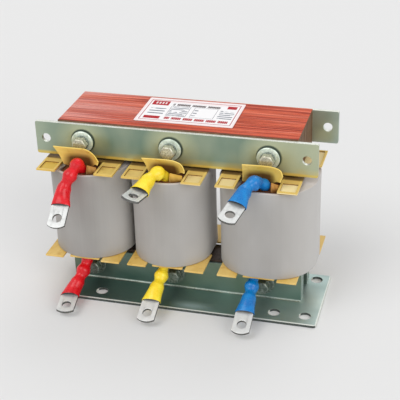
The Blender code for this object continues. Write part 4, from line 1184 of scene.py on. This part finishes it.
def make_foot(edge):
    """Folded foot: legs darker as painted shade, paler plate, painted highlights on the bends and the cut
    edges, and painted shade on the plate's front face.
    """
    # One zinc in copies: darker on the legs as painted shade, paler on the bends and the legs' folded ends as
    # painted highlight, near black on the plate's front face as painted shade.
    leg = zinc_finish("shaded_leg_zinc", (0.12, 0.19, 0.155), (0.23, 0.30, 0.25), (0.28, 0.30, 0.17), 0.36)
    bend = grained_finish("bend_highlight_zinc", (0.28, 0.35, 0.31), (0.48, 0.55, 0.50), 2.0, 0.36, 0.80)
    dark = grained_finish("shaded_sheet_edge", (0.05, 0.06, 0.055), (0.12, 0.14, 0.13), 1.5, 0.50, 0.50)
    foot = refined("base_bracket", "folded_foot", 0.45, leg)

    def broken(face):
        """Whether a face is a rounded edge that looks up."""
        return 0.30 < face.normal.z <= 0.95

    def at_right(face):
        """Whether a face looks to the right end."""
        return face.normal.x > 0.7

    def in_plate(face):
        """Whether a face belongs to the plate's thickness."""
        return face.center.z < PLATE_TOP * MM

    trim(foot, foot_finish(), lambda face: abs(face.normal.z) > 0.95)
    trim(foot, bend, lambda face: broken(face) and face.center.y > PLATE_FRONT_STRIP * MM)
    trim(foot, edge, lambda face: broken(face) and face.center.y < PLATE_FRONT_STRIP * MM)
    trim(foot, edge, lambda face: at_right(face) and in_plate(face))
    trim(foot, bend, lambda face: at_right(face) and not in_plate(face) and face.center.x > LEG_RETURN * MM)
    trim(foot, dark, lambda face: in_plate(face) and face.normal.y < -0.7)


def make_clamps(edge):
    """Front and back clamp plates, bright along their upper edges: bare cut edges made paler as a painted
    highlight.
    """
    front = refined("front_clamp_bar", "front_clamp_plate", 0.35, clamp_finish())
    zinc = zinc_finish("zinc_sheet", (0.38, 0.48, 0.41), (0.56, 0.64, 0.56), (0.64, 0.64, 0.48), 0.34)
    back = refined("back_clamp_bar", "back_clamp_plate", 0.35, zinc)
    for plate in (front, back):
        trim(plate, edge, lambda face: face.normal.z > 0.35)


# ---------------------------------------------------------------- build

# Base, pale and deep colour of the mouldings and the insulation sheets.
TRAY_OCHRE = ((0.66, 0.41, 0.050), (0.76, 0.52, 0.11), (0.46, 0.22, 0.022))
SHELF_AMBER = ((0.52, 0.28, 0.030), (0.64, 0.38, 0.06), (0.36, 0.16, 0.015))
LOWER_OCHRE = ((0.73, 0.47, 0.11), (0.84, 0.60, 0.21), (0.54, 0.28, 0.04))
SHEET_OCHRE = ((0.87, 0.61, 0.12), (0.93, 0.70, 0.21), (0.68, 0.40, 0.06))
FOLD_BROWNS = {"a": ((0.46, 0.24, 0.055), (0.58, 0.33, 0.09), (0.30, 0.13, 0.025)),
               "b": ((0.62, 0.36, 0.050), (0.74, 0.46, 0.08), (0.46, 0.22, 0.025)),
               "c": ((0.50, 0.22, 0.040), (0.60, 0.30, 0.06), (0.34, 0.13, 0.020))}
# Dark and light grey of each coil's tape. Coil a's greys are darker, as painted shade on the left coil.
TAPE_GREYS = {"a": ((0.315, 0.298, 0.280), (0.350, 0.337, 0.320)),
              "b": ((0.365, 0.345, 0.325), (0.415, 0.400, 0.380)),
              "c": ((0.365, 0.350, 0.332), (0.415, 0.402, 0.386))}


def make_coils():
    """Flanges, tape, insulation sheets and windings of the three coils."""
    moulding = moulding_finish("ochre_moulding", TRAY_OCHRE, 0.42, painted_tray_light=1.0)
    shelf = moulding_finish("amber_shelf", SHELF_AMBER, 0.42, painted_tray_light=0.0)
    lower = moulding_finish("lower_moulding", LOWER_OCHRE, 0.42)
    # The sunk trays' walls: dark amber as painted shade.
    wall = grained_finish("shaded_tray_wall", (0.15, 0.060, 0.008), (0.34, 0.17, 0.03), 3.0, 0.46, 0.0)
    for phase, x, (wrap_x, width) in zip(PHASES, COIL_X, WRAPS):
        make_upper_flange(phase, x, moulding, wall, shelf)
        refined("lower_flange_" + phase, "lower_bobbin_flange_" + phase, 0.25, lower)
        make_wrap(phase, wrap_x, width, x, tape_finish("grey_tape_" + phase, *TAPE_GREYS[phase]))
        # Painted shade on each insulation sheet and fold near its lead: the middle, upper and lower height of
        # the shade.
        stain_and_shade = (x - 2.0, 150.5, 144.0)
        make_tongue(phase, x, moulding_finish("ochre_sheet_" + phase, SHEET_OCHRE, 0.46, stain_and_shade=stain_and_shade))
        stain_and_shade = (x + 8.0, 138.5, 132.0)
        make_fold(phase, x, moulding_finish("folded_sheet_" + phase, FOLD_BROWNS[phase], 0.46, stain_and_shade=stain_and_shade))
        repaint("winding_" + phase, winding_finish("varnished_winding_" + phase, x))
        repaint("coil_tube_" + phase, moulding)


def dress():
    """Make every piece and give every solid its finish."""
    # Bare cut edges of the zinc, made paler still as a painted highlight.
    edge = grained_finish("edge_highlight_zinc_edge", (0.66, 0.70, 0.62), (0.90, 0.92, 0.86), 1.5, 0.34, 0.60)
    make_foot(edge)
    make_clamps(edge)
    make_core()
    make_coils()
    make_leads()
    make_fasteners()
    repaint("rating_label", label_finish())


bpy.context.scene.view_settings.view_transform = "Standard"
place_camera()
light_studio()
lay_floor()
dress()
